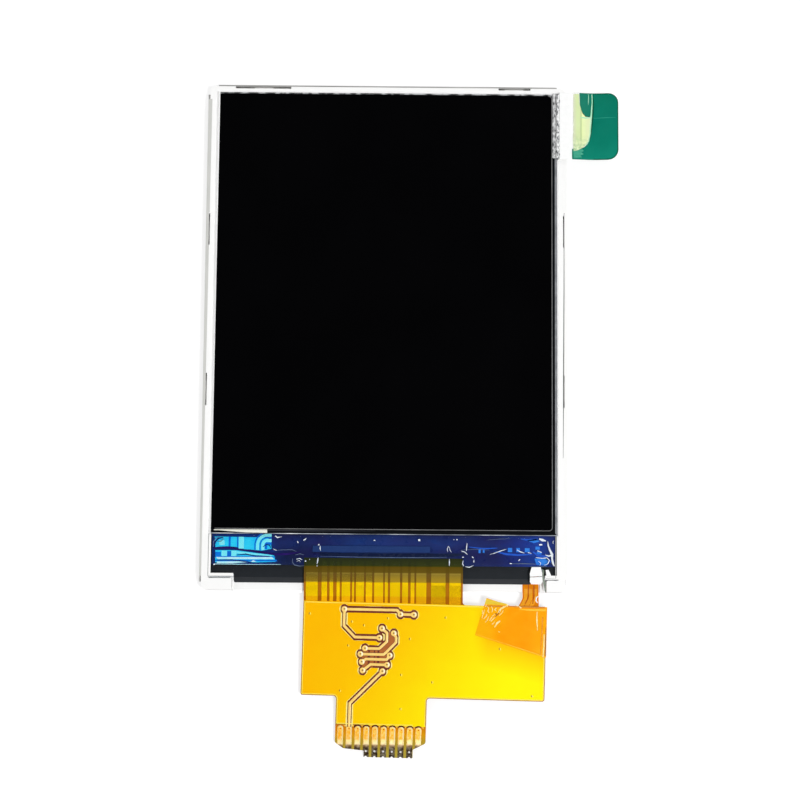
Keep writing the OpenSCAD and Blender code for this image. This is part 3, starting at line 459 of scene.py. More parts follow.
def raise_sheet(bm, height, thick):
    """Turns a flat mesh into a closed sheet laid on height(x, y)."""
    below = bm.verts[:]
    raised = bmesh.ops.extrude_face_region(bm, geom=bm.faces[:], use_keep_orig=True)["geom"]
    for v in below:
        v.co.z = height(v.co.x, v.co.y)
    for v in raised:
        if isinstance(v, bmesh.types.BMVert):
            v.co.z = height(v.co.x, v.co.y) + (thick(v.co.x, v.co.y) if callable(thick) else thick)


def plate(name, outlines, material, slot, height, thick, cell=0.4 * MM, across=False, replaces=()):
    """Closed sheet with the given plan outlines, laid on height(x, y)."""
    bm = bmesh.new()
    for outline in outlines:
        bm.faces.new([bm.verts.new((x, y, 0)) for x, y in outline])
    bmesh.ops.remove_doubles(bm, verts=bm.verts, dist=1e-7)
    bmesh.ops.triangulate(bm, faces=bm.faces[:])
    cut_cells(bm, 1, cell)
    if across:
        cut_cells(bm, 0, cell)
    raise_sheet(bm, height, thick)
    return finish_piece(name, bm, material, slot, replaces)


def contour_sheet(name, field, low, high, cell, material, slot, height, thick, replaces=()):
    """Closed sheet over the part of a rectangle where field(x, y) is above 0."""
    columns, rows = (math.ceil((high[k] - low[k]) / cell) for k in (0, 1))
    xs = [low[0] + (high[0] - low[0]) * i / columns for i in range(columns + 1)]
    ys = [low[1] + (high[1] - low[1]) * j / rows for j in range(rows + 1)]
    level = [[field(x, y) for x in xs] for y in ys]
    bm = bmesh.new()
    made = {}

    def vertex(here, there=None):
        key = (here,) if there is None else tuple(sorted((here, there)))
        if key not in made:
            if there is None:
                made[key] = bm.verts.new((xs[here[0]], ys[here[1]], 0))
            else:
                (i, j), (k, m) = key
                a, b = level[j][i], level[m][k]
                share = min(max(a / (a - b), 0.04), 0.96)
                made[key] = bm.verts.new((xs[i] + (xs[k] - xs[i]) * share, ys[j] + (ys[m] - ys[j]) * share, 0))
        return made[key]

    for j in range(rows):
        for i in range(columns):
            ring = [(i, j), (i + 1, j), (i + 1, j + 1), (i, j + 1)]
            inside = [level[b][a] > 0 for a, b in ring]
            corners = []
            for k in range(4):
                if inside[k]:
                    corners.append(vertex(ring[k]))
                if inside[k] != inside[(k + 1) % 4]:
                    corners.append(vertex(ring[k], ring[(k + 1) % 4]))
            if len(corners) > 2:
                bm.faces.new(corners)
    raise_sheet(bm, height, thick)
    return finish_piece(name, bm, material, slot, replaces)


def plan_loops(node, least=0.3):
    """Plan outlines, as lists of (x, y), of the up-facing side of a CAD node; holes are left out."""
    bm = bmesh.new()
    bm.from_mesh(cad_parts[node].data)
    bmesh.ops.remove_doubles(bm, verts=bm.verts, dist=1e-7)
    top = {f for f in bm.faces if f.normal.z > least}
    follow = {}
    for face in top:
        for corner in face.loops:
            if sum(f in top for f in corner.edge.link_faces) == 1:
                follow.setdefault(corner.vert, []).append(corner.link_loop_next.vert)
    loops = []
    while follow:
        start = next(iter(follow))
        loop, here = [], start
        while here in follow:
            loop.append((here.co.x, here.co.y))
            after = follow[here].pop()
            if not follow[here]:
                del follow[here]
            here = after
            if here == start:
                break
        if len(loop) > 2 and turn_of(loop) > 0:
            loops.append(loop)
    bm.free()
    return loops


def turn_of(loop):
    """Signed area of a plan outline: above 0 where it runs anticlockwise."""
    return sum(a[0] * b[1] - b[0] * a[1] for a, b in zip(loop, loop[1:] + loop[:1])) / 2


def grown(loop, by):
    """Plan outline moved outwards by a distance, with bounded mitres."""
    points = [Vector(p) for p in loop]
    points = [p for i, p in enumerate(points) if (p - points[i - 1]).length > 1e-6]
    moved = []
    for i, here in enumerate(points):
        before, after = (here - points[i - 1]).normalized(), (points[(i + 1) % len(points)] - here).normalized()
        side = Vector((before.y, -before.x)) + Vector((after.y, -after.x))
        if side.length < 0.2:
            side = Vector((before.y, -before.x))
        moved.append(tuple(here + side.normalized() * by * min(2 / side.length, 1.6)))
    return moved


def profile_of(node, x):
    """Height of the top of a CAD node along Y at one x, as a function that runs on past its ends."""
    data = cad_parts[node].data
    tree = BVHTree.FromPolygons([v.co for v in data.vertices], [p.vertices for p in data.polygons])
    low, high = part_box(node)
    steps = 160
    known = []
    for i in range(steps + 1):
        y = low.y + (high.y - low.y) * (0.002 + 0.996 * i / steps)
        hit = tree.ray_cast(Vector((x, y, 1)), Vector((0, 0, -1)))[0]
        if hit:
            known.append((y, hit.z))

    def height(y):
        at = 1
        while at < len(known) - 1 and known[at][0] < y:
            at += 1
        (y0, z0), (y1, z1) = known[at - 1], known[at]
        return z0 + (z1 - z0) * (y - y0) / (y1 - y0)
    return height


def arc(centre, radius, start, end, steps=8):
    """Points on a circle, with angles in degrees."""
    return [(centre[0] + radius * math.cos(math.radians(start + (end - start) * i / steps)),
             centre[1] + radius * math.sin(math.radians(start + (end - start) * i / steps)))
            for i in range(steps + 1)]


def box_outline(x0, y0, x1, y1, corner=0.0):
    if corner == 0:
        return [(x0, y0), (x1, y0), (x1, y1), (x0, y1)]
    return (arc((x1 - corner, y1 - corner), corner, 0, 90) + arc((x0 + corner, y1 - corner), corner, 90, 180)
            + arc((x0 + corner, y0 + corner), corner, 180, 270) + arc((x1 - corner, y0 + corner), corner, 270, 360))


# ---- Flex circuit ----

BODY_CORNER = Vector((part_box("neck_cover_film")[0].x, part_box("body_cover_film")[1].y))
film_top = profile_of("body_cover_film", 0.0)
# Height of one layer drawn on the films
LAYER = 0.005 * MM
# Signal traces in millimetres along the axes of the flex body; every end is a via
TRACES = [
    [(4.76, -0.85), (10.85, -0.8), (11.25, -1.27), (12.8, -1.28)],
    [(4.76, -0.85), (4.76, -2.75), (6.05, -4.02), (8.9, -4.02)],
    [(9.17, -2.95), (9.76, -3.45), (9.76, -4.45), (8.9, -5.28), (7.27, -5.28)],
    [(10.54, -3.47), (10.82, -3.95), (10.82, -4.5), (9.45, -5.93), (6.76, -5.95)],
    [(10.14, -6.02), (9.8, -6.5), (7.4, -6.5), (6.94, -6.84)],
    [(9.86, -7.1), (7.95, -7.1), (7.06, -7.81)],
    [(9.36, -7.85), (5.7, -11.6), (5.7, -14.15)],
]
VIAS = [t[0] for t in TRACES] + [t[-1] for t in TRACES[:-1]] + [(11.25, -1.27)]
BARE_FIELD = [(9.76, -3.3), (10.8, -3.6), (10.8, -4.5), (9.9, -5.6), (9.9, -7.1), (7, -7.6), (7, -5.3),
              (8.9, -5.28), (9.7, -4.45)]
# Conductors that cross under the bare field: where they start, and their width
CROSSINGS = [(7.6, 0.26), (8.28, 0.2), (8.68, 0.26)]
STITCHES = [(0.7, -1.45), (5.6, -2.25), (7, -2.65), (9.75, -1.75), (12.35, -4.05), (16.4, -1.5), (5.25, -5),
            (11.45, -8.2), (15.05, -8.95), (22.75, -4.9), (4.45, -10.2), (11.5, -12.1), (26.6, -10.2)]
# Sizes in millimetres of a trace's ridge, its groove, its rim of painted highlight, and a via
RIDGE, GROOVE, RIM_HIGHLIGHT, VIA = 0.15, 0.12, 0.12, 0.34


def on_body(x, y):
    """Plan point from millimetres along the axes of the flex body."""
    c, s = math.cos(BODY_TURN), math.sin(BODY_TURN)
    return (BODY_CORNER.x + (x * c + y * s) * MM, BODY_CORNER.y + (-x * s + y * c) * MM)


def off_body(x, y):
    """The reverse of on_body."""
    c, s = math.cos(BODY_TURN), math.sin(BODY_TURN)
    x, y = (x - BODY_CORNER.x) / MM, (y - BODY_CORNER.y) / MM
    return x * c - y * s, x * s + y * c


def over(profile, layer):
    return lambda x, y: profile(y) + layer * LAYER


def within(outline, x, y):
    inside = False
    for (x0, y0), (x1, y1) in zip(outline, outline[1:] + outline[:1]):
        if (y0 > y) != (y1 > y) and x < x0 + (x1 - x0) * (y - y0) / (y1 - y0):
            inside = not inside
    return inside


def trace_distances():
    """Distance in millimetres to the nearest trace, less at a via, and how upright the way to it is."""
    points = []
    for trace in TRACES:
        for (x0, y0), (x1, y1) in zip(trace, trace[1:]):
            steps = math.ceil(math.hypot(x1 - x0, y1 - y0) / 0.03)
            points += [(x0 + (x1 - x0) * i / steps, y0 + (y1 - y0) * i / steps) for i in range(steps + 1)]
    tree = KDTree(len(points))
    for i, point in enumerate(points):
        tree.insert((*point, 0), i)
    tree.balance()

    def measure(x, y):
        near, _, far = tree.find((x, y, 0))
        upright = abs(near.y - y) / max(far, 1e-6)
        for vx, vy in VIAS:
            at_via = math.hypot(x - vx, y - vy)
            if at_via - VIA + RIDGE < far:
                far, upright = at_via - VIA + RIDGE, abs(y - vy) / max(at_via, 1e-6)
        return far, upright
    return measure


def dress_traces():
    """Relief of the traces in the cover film: light ridges in dark grooves, partly painted shade, with rims of painted
    highlight.
    """
    measure = trace_distances()

    def bands(x, y):
        """Distance from the trace, and where its groove and rim end."""
        x, y = off_body(x, y)
        far, upright = measure(x, y)
        bare = within(BARE_FIELD, x, y)
        # Grooves widen and rims narrow as the way to the trace turns upright: painted shade and highlight.
        groove = RIDGE + GROOVE * (1 + upright)
        return x, y, far, groove, groove + RIM_HIGHLIGHT * (1.1 - upright), bare

    def ridge(x, y):
        return RIDGE - bands(x, y)[2]

    def groove(x, y):
        x, y, far, end, _, bare = bands(x, y)
        return min(far - RIDGE + 0.03, end - far)

    def rim(x, y):
        x, y, far, start, end, bare = bands(x, y)
        return -1 if bare else min(far - start + 0.02, end - far)

    def bare_base(x, y):
        x, y, far, start, _, bare = bands(x, y)
        crossed = y < -5.3 and any(left < x < left + wide for left, wide in CROSSINGS)
        return min(far - RIDGE - 0.05, -0.01 if crossed or not bare else 0.1)

    reach = [on_body(3.9, 0.1), on_body(13.8, -14.1)]
    area = ((reach[0][0], reach[1][1]), (reach[1][0], reach[0][1]))
    # Grooves are the gap in the copper, darkened by painted shade; rims are painted highlight.
    dark = mottled("film_groove_and_shade", srgb(88, 24, 4), srgb(128, 44, 6), 0.5 * MM, (0.25, 0.45))
    contour_sheet("trace_rim_highlights", rim, *area, 0.09 * MM,
                  mottled("film_rim_highlight", srgb(250, 222, 96), srgb(255, 246, 170), 0.4 * MM, (0.2, 0.35)),
                  "cover_film", over(film_top, 0.5), 2 * LAYER)
    contour_sheet("trace_grooves_and_shade", groove, *area, 0.09 * MM, dark, "cover_film", over(film_top, 0.5), LAYER)
    contour_sheet("bare_field", bare_base, on_body(6.8, -7.9), on_body(11.2, -3.1), 0.06 * MM,
                  mottled("bare_film", srgb(156, 82, 22), srgb(190, 104, 30), 0.4 * MM, (0.3, 0.5)),
                  "cover_film", over(film_top, 1.8), LAYER)
    contour_sheet("trace_ridges", ridge, *area, 0.09 * MM,
                  mottled("film_ridge", srgb(250, 200, 92), srgb(255, 224, 140), 0.6 * MM, (0.2, 0.35)),
                  "cover_film", over(film_top, 1.6),
                  lambda x, y: 0.5 * LAYER + 5 * LAYER * (1 - (max(measure(*off_body(x, y))[0], 0) / RIDGE) ** 2)
                  if measure(*off_body(x, y))[0] < RIDGE else 0.5 * LAYER)
    glint = mottled("film_glint", srgb(255, 244, 200), srgb(255, 254, 240), 0.3 * MM, (0.1, 0.2))
    plate("via_glints", [[on_body(x + a, y + b) for a, b in arc((0.03, 0.02), 0.27, -60, 75) +
                          arc((0.0, 0.02), 0.15, 75, -60)] for x, y in VIAS],
          glint, "cover_film", over(film_top, 5), 3 * LAYER)
    plate("via_holes", [[on_body(x + a, y + b) for a, b in arc((-0.02, 0.02), 0.09, 0, 324, 9)] for x, y in VIAS],
          mottled("via_hole", srgb(92, 60, 8), srgb(146, 104, 20), 0.1 * MM, (0.3, 0.5)),
          "cover_film", over(film_top, 5), 3 * LAYER)
    plate("stitch_holes", [[on_body(x + 0.6 * a, y + 1.5 * b) for a, b in arc((0, 0), 0.085, 0, 324, 9)]
                           for x, y in STITCHES],
          mottled("stitch_hole", srgb(120, 80, 4), srgb(170, 124, 10), 0.1 * MM, (0.3, 0.5)),
          "cover_film", over(film_top, 0.5), 2 * LAYER)
    plate("stitch_glints", [[on_body(x + 0.13 + 0.6 * a, y - 0.02 + 1.5 * b)
                             for a, b in arc((0, 0), 0.1, 0, 324, 9)] for x, y in STITCHES],
          mottled("stitch_glint", srgb(254, 222, 60), srgb(255, 238, 110), 0.1 * MM, (0.15, 0.3)),
          "cover_film", over(film_top, 0.5), 1.5 * LAYER)


def edge_strip(name, loop, start, end, material, slot, height, thick, keep=lambda x, y: True):
    """Strip along a plan outline, from start to end inside it, where keep(x, y) allows."""
    outer, inner = grown(loop, -start), grown(loop, -end)
    quads = []
    for i, (a, b) in enumerate(zip(outer, inner)):
        c, d = outer[(i + 1) % len(outer)], inner[(i + 1) % len(inner)]
        if keep((a[0] + c[0]) / 2, (a[1] + c[1]) / 2):
            quads.append([a, c, d, b])
    return plate(name, quads, material, slot, height, thick)


def dress_film_edges():
    """Cut edge of the cover film: a dark line outside a light one."""
    loop = max(plan_loops("body_cover_film"), key=turn_of)
    edge = mottled("film_edge", srgb(150, 96, 8), srgb(196, 136, 14), 1.5 * MM, (0.3, 0.5))
    light = mottled("film_edge_light", srgb(254, 214, 40), srgb(255, 240, 110), 2 * MM, (0.15, 0.3))
    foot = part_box("body_cover_film")[0].y + 0.15 * MM

    def cut_side(x, y):
        return off_body(x, y)[1] < -0.1 and y > foot

    def not_foot(x, y):
        return y > foot
    edge_strip("film_edge_dark", loop, 0.0, 0.1 * MM, edge, "cover_film", over(film_top, 0.5), LAYER, cut_side)
    edge_strip("film_edge_light", loop, 0.1 * MM, 0.2 * MM, light, "cover_film", over(film_top, 0.5), 1.5 * LAYER,
               not_foot)


def dress_pads():
    """Contacts: raised rims of painted highlight, brighter on the right, and an arc of painted shade in the film over
    each.
    """
    loops = sorted((p for p in plan_loops("contact_pads") if turn_of(p) > 0.3 * MM ** 2), key=lambda p: p[0])
    pad_top = profile_of("contact_pads", loops[4][0][0])
    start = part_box("contact_pads")[1].y
    # Rims: painted highlight, bright on the right and faint on the left; arcs over the top ends: painted shade.
    bright = mottled("pad_rim_highlight", srgb(255, 232, 120), srgb(255, 252, 214), 0.4 * MM, (0.1, 0.25), metal=0.2)
    faint = mottled("pad_rim_faint", srgb(236, 172, 50), srgb(255, 236, 150), 0.3 * MM, (0.15, 0.3), metal=0.2)
    shade = mottled("pad_shade", srgb(60, 8, 0), srgb(104, 26, 2), 0.4 * MM, (0.3, 0.5), specular=0.1)
    for i, loop in enumerate(loops):
        middle = sum(x for x, _ in loop) / len(loop)
        for side, finish, wide in ((1, bright, 0.15 * MM), (-1, faint, 0.09 * MM)):
            edge_strip(f"pad_rim_highlight_{i}_{side}", loop, 0.02 * MM, wide, finish, "contact_gold", over(pad_top, 0.5),
                       2 * LAYER, lambda x, y: y > start - 2.1 * MM and (x - middle) * side > -0.02 * MM)
        if i > 1:
            edge_strip(f"pad_shade_{i}", loop, -0.17 * MM, 0.0, shade, "cover_film", over(film_top, 0.5),
                       2 * LAYER, lambda x, y: y > start - 0.16 * MM)


# ---- Ledge of the array glass, under the sealant ----

LEDGE_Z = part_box("array_glass")[1].z
LEDGE = (-19.9, -26.95, 19.9, -23.4)


def shapes(outlines):
    """Plan outlines in metres from ones in millimetres."""
    return [[(x * MM, y * MM) for x, y in outline] for outline in outlines]


def flat(z):
    return lambda x, y: z


def level_at(stops, at):
    """Value at one place of a line through (place, value) pairs."""
    for (a, low), (b, high) in zip(stops, stops[1:]):
        if at <= b:
            return low + (high - low) * min(max((at - a) / (b - a), 0), 1)
    return stops[-1][1]


def bar(x0, y0, x1, y1):
    return [(x0, y0), (x1, y0), (x1, y1), (x0, y1)]


def ribbon(points, widths):
    """Outline of a band along points, with one width for each."""
    left, right = [], []
    for i, (x, y) in enumerate(points):
        before, after = points[max(i - 1, 0)], points[min(i + 1, len(points) - 1)]
        dx, dy = after[0] - before[0], after[1] - before[1]
        reach = widths[i] / 2 / math.hypot(dx, dy)
        left.append((x - dy * reach, y + dx * reach))
        right.append((x + dy * reach, y - dx * reach))
    return left + right[::-1]


def corner_band(x, y, inner, wide, drop):
    """Conductor that runs in from the right, turns down round a rounded corner and runs on down."""
    outer = inner + wide
    return ([(x + 0.5, y + outer)] + arc((x, y), outer, 90, 180) + [(x - outer, y - drop), (x - inner, y - drop)]
            + arc((x, y), inner, 180, 90) + [(x + 0.5, y + inner)])


def ledge_base():
    made = Surface("ledge_layers", srgb(24, 38, 84), 0.25, specular=0.15)
    across = made.ramp(made.along((-19.9 * MM, 0), (19.9 * MM, 0)), [
        (0.0, srgb(10, 50, 110)), (0.15, srgb(10, 60, 140)), (0.19, srgb(16, 34, 80)), (0.23, srgb(16, 22, 52)),
        (0.32, srgb(14, 24, 64)), (0.5, srgb(26, 54, 112)), (0.62, srgb(18, 36, 88)), (0.7, srgb(18, 30, 84)),
        (0.83, srgb(14, 26, 84)), (0.9, srgb(14, 44, 140)), (0.95, srgb(20, 70, 180)), (1.0, srgb(12, 34, 96))])
    # Darker band just below the chip: painted shadow of the chip.
    down = made.ramp(made.along((0, -23.4 * MM), (0, -26.95 * MM)), [
        (0.0, srgb(22, 24, 84)), (0.3, srgb(34, 52, 124)), (0.6, srgb(8, 14, 52)), (0.75, srgb(6, 16, 44)),
        (1.0, srgb(16, 28, 52))])
    cloud = made.ramp(made.noise(2.2 * MM, 4.0, (2, 0.8, 1)), [(0.35, srgb(44, 18, 96)), (0.7, srgb(8, 66, 140))])
    made.colour(made.mixed(made.mixed(across, down, 0.32), cloud, made.spread(made.noise(1.1 * MM), -0.2, 0.6)))
    made.rough(made.noise(1 * MM), 0.2, 0.4)
    return made


def metal(name, dark, light):
    """Metal pattern on the glass, seen through blue sealant."""
    return mottled(name, srgb(*dark), srgb(*light), 0.9 * MM, (0.2, 0.4), specular=0.2)


def dress_ledge():
    """Metal layers of the ledge: solid areas, plain bars and rounded conductor bands."""
    plate("ledge_layers", shapes([bar(*LEDGE)]), ledge_base(), "cell_glass", flat(LEDGE_Z), 0.01 * MM, 1 * MM)
    level = [LEDGE_Z + 0.01 * MM * i for i in range(1, 7)]
    broad = metal("metal_blue", (0, 178, 255), (60, 240, 255))
    deep = metal("metal_deep", (0, 84, 200), (0, 140, 240))
    bright = metal("metal_bright", (84, 244, 255), (170, 255, 255))
    pale = metal("metal_pale", (130, 250, 255), (250, 255, 255))
    plate("metal_broad", shapes([
        [(-19.6, -23.72), (-13.5, -23.8), (-13.1, -24.2), (-13.0, -25.1), (-14.1, -25.32), (-16.1, -25.18),
         (-17.2, -24.9), (-19.5, -24.95)],
        [(-19.5, -25.3), (-17.0, -25.3), (-14.6, -25.62), (-12.7, -25.8), (-12.5, -26.6), (-14.6, -26.68),
         (-19.5, -26.7)]]), broad, "cell_glass", flat(level[0]), 0.01 * MM)
    plate("metal_deep", shapes([
        bar(-17.98, -24.88, -17.74, -23.72), bar(-17.0, -24.96, -16.86, -23.74),
        [(-19.5, -26.0), (-12.6, -25.98), (-12.5, -26.1), (-19.5, -26.12)],
        [(-19.5, -26.4), (-12.4, -26.36), (-12.3, -26.56), (-19.5, -26.58)],
        corner_band(-13.5, -24.65, 0.0, 0.3, 0.5), corner_band(-13.5, -24.65, 0.75, 0.14, 0.62),
        corner_band(-13.5, -24.65, 1.35, 0.14, 0.56),
        bar(-19.5, -25.98, -18.84, -25.5), bar(-18.12, -25.98, -17.66, -25.4)]),
          deep, "cell_glass", flat(level[1]), 0.01 * MM)
    plate("metal_bright", shapes([
        bar(-16.8, -25.1, -16.2, -23.74), corner_band(-13.5, -24.65, 0.32, 0.36, 0.6),
        corner_band(-13.5, -24.65, 0.95, 0.34, 0.6), bar(-19.05, -24.7, -18.45, -24.15),
        bar(-18.77, -25.98, -18.14, -25.35), bar(-17.64, -25.98, -17.02, -25.35),
        [(-17.0, -25.42), (-14.6, -25.66), (-12.9, -25.86), (-13.0, -25.94), (-14.7, -25.84), (-17.0, -25.66)]]),
          bright, "cell_glass", flat(level[2]), 0.01 * MM)
    plate("metal_pale", shapes([
        [(-19.4, -26.1), (-12.9, -26.06), (-12.7, -26.3), (-19.2, -26.34)],
        ribbon([(-19.3, -26.72), (-17.5, -26.7), (-15.9, -26.62)], (0.2, 0.24, 0.12)),
        [(-15.4, -26.62), (-15.1, -26.44), (-14.7, -26.62)],
        ribbon([(-19.6, -26.9), (-15.0, -26.92), (-11.9, -26.9)], (0.07, 0.05, 0.04))]),
          pale, "cell_glass", flat(level[3]), 0.01 * MM)
    blocks = metal("metal_block", (20, 100, 220), (60, 160, 250))
    plate("metal_blocks", shapes([
        bar(14.4, -25.26, 14.9, -24.78), bar(15.38, -25.26, 15.8, -24.78), bar(16.37, -25.26, 16.93, -24.8),
        bar(17.6, -24.95, 18.1, -24.6), bar(17.75, -25.5, 18.3, -25.2), bar(11.0, -25.4, 11.25, -24.95),
        bar(11.5, -25.36, 11.7, -24.95), [(16.6, -23.9), (17.7, -23.7), (18.1, -24.0), (17.4, -24.2)],
        [(17.5, -26.0), (18.9, -25.9), (19.3, -26.2), (18.9, -26.8), (17.7, -26.7)]]),
          blocks, "cell_glass", flat(level[0]), 0.01 * MM)
    # Dark line along the crease of the sealant: painted shade.
    crease = mottled("sealant_crease_shade", srgb(10, 14, 60), srgb(60, 30, 120), 1.5 * MM, (0.15, 0.3))
    plate("sealant_crease_shade", shapes([
        ribbon([(-19.75, -25.1), (-19.2, -25.02), (-18.2, -24.98), (-17.4, -25.02), (-16.7, -25.26), (-15.4, -25.3),
                (-14.1, -25.52), (-12.7, -25.74), (-11.2, -25.7), (-9.6, -25.46)],
               (0.12, 0.2, 0.26, 0.24, 0.16, 0.18, 0.2, 0.24, 0.26, 0.1))]),
          crease, "sealant", flat(level[4]), 0.02 * MM)
    outline = mottled("metal_outline", srgb(2, 20, 80), srgb(10, 50, 140), 0.7 * MM, (0.2, 0.4))
    plate("metal_outlines", shapes([
        ribbon([(-19.62, -24.9), (-19.5, -24.3), (-19.2, -23.95), (-18.6, -23.82)], (0.06, 0.16, 0.18, 0.08)),
        ribbon([(-17.3, -25.16), (-16.0, -25.26), (-15.2, -25.42), (-13.6, -25.46), (-12.4, -25.36)],
               (0.08, 0.14, 0.12, 0.14, 0.1)),
        ribbon([(-17.1, -25.86), (-16.0, -25.74), (-14.9, -25.94), (-13.2, -25.98)], (0.06, 0.14, 0.12, 0.08)),
        ribbon([(-19.3, -26.44), (-17.6, -26.42), (-16.2, -26.56), (-15.2, -26.7)], (0.08, 0.12, 0.14, 0.06)),
        ribbon([(-14.0, -24.9), (-13.6, -24.6), (-13.2, -24.7), (-13.1, -25.0)], (0.05, 0.1, 0.12, 0.08))]),
          outline, "cell_glass", flat(level[4]), 0.01 * MM)
    wash = mottled("ledge_wash", srgb(16, 70, 190), srgb(40, 110, 226), 0.8 * MM, (0.2, 0.4))
    plate("ledge_washes", shapes([
        ribbon([(12.9, -25.2), (14.2, -25.5), (15.6, -25.6), (17.2, -25.5)], (0.06, 0.24, 0.2, 0.1)),
        ribbon([(15.9, -23.72), (16.8, -23.86), (17.9, -23.76)], (0.1, 0.24, 0.2)),
        ribbon([(17.3, -25.2), (18.0, -25.7), (18.8, -25.8), (19.4, -26.4)], (0.1, 0.3, 0.36, 0.2)),
        ribbon([(9.9, -24.7), (11.6, -24.9), (13.2, -24.8)], (0.05, 0.18, 0.06))]),
          wash, "cell_glass", flat(LEDGE_Z + 0.01 * MM), 0.01 * MM)
    navy = mottled("chip_shadow", srgb(6, 18, 50), srgb(10, 26, 62), 2 * MM, (0.2, 0.35))
    plate("chip_shadow", shapes([ribbon([(-7.4, -25.68), (0, -25.74), (8.4, -25.66), (9.4, -25.5)],
                                        (0.34, 0.42, 0.36, 0.1))]),
          navy, "cell_glass", flat(level[0]), 0.01 * MM)


def sealant_height(x, y):
    """Top of the sealant: a meniscus at its edges, lumps inside, and enough height to cover the chip."""
    x, y = x / MM, y / MM
    edge = min(x - LEDGE[0], LEDGE[2] - x, (LEDGE[3] - y) * 1.5, (y - LEDGE[1]) * 1.2)
    dome = min(max(edge, 0) / 0.45, 1) ** 0.5
    lumps = 0.05 * noise.noise((x / 2.6, y / 1.2, 0)) + 0.02 * noise.noise((x / 0.7, y / 0.6, 3))
    return LEDGE_Z + (0.05 + dome * (0.27 + lumps)) * MM


def dress_sealant():
    """Clear blue sealant over the ledge, with painted glints and sheens on its bubbles and pinched ridges."""
    gel = Surface("blue_sealant", (0.01, 0.03, 0.12, 1), 0.06, specular=0.35)
    gel.rough(gel.noise(1 * MM), 0.04, 0.12)
    gel.bump(gel.noise(0.5 * MM, 4.0, (2, 1, 1)), 0.02 * MM)
    gel.see_through((0.97, 0.985, 1.0, 1), 0.03)
    low, high = (-19.9 * MM, -27.1 * MM), (19.9 * MM, -23.4 * MM)

    def outline(x, y):
        foot = -26.98 - 0.06 * noise.noise((x / MM / 1.5, 0, 7))
        for centre in (-9.7, 9.85):
            foot -= 0.14 * math.exp(-((x / MM - centre) / 0.6) ** 2)
        return y / MM - foot
    contour_sheet("sealant", outline, low, high, 0.16 * MM, gel, "sealant", sealant_height, 0.02 * MM,
                  ("ledge_sealant",))
    glint = mottled("sealant_glint", srgb(214, 228, 244), srgb(250, 253, 255), 0.4 * MM, (0.05, 0.15), specular=0.8)
    soft = mottled("sealant_sheen", srgb(70, 86, 120), srgb(120, 136, 160), 0.8 * MM, (0.1, 0.2))

    def over_gel(x, y):
        return sealant_height(x, max(y, -26.8 * MM)) + 0.018 * MM
    plate("sealant_glints", shapes([ribbon(*stroke) for stroke in GLINTS]), glint, "sealant", over_gel, 0.02 * MM,
          0.2 * MM)
    plate("sealant_sheens", shapes([ribbon(*stroke) for stroke in SHEENS]), soft, "sealant", over_gel, 0.01 * MM,
          0.2 * MM)
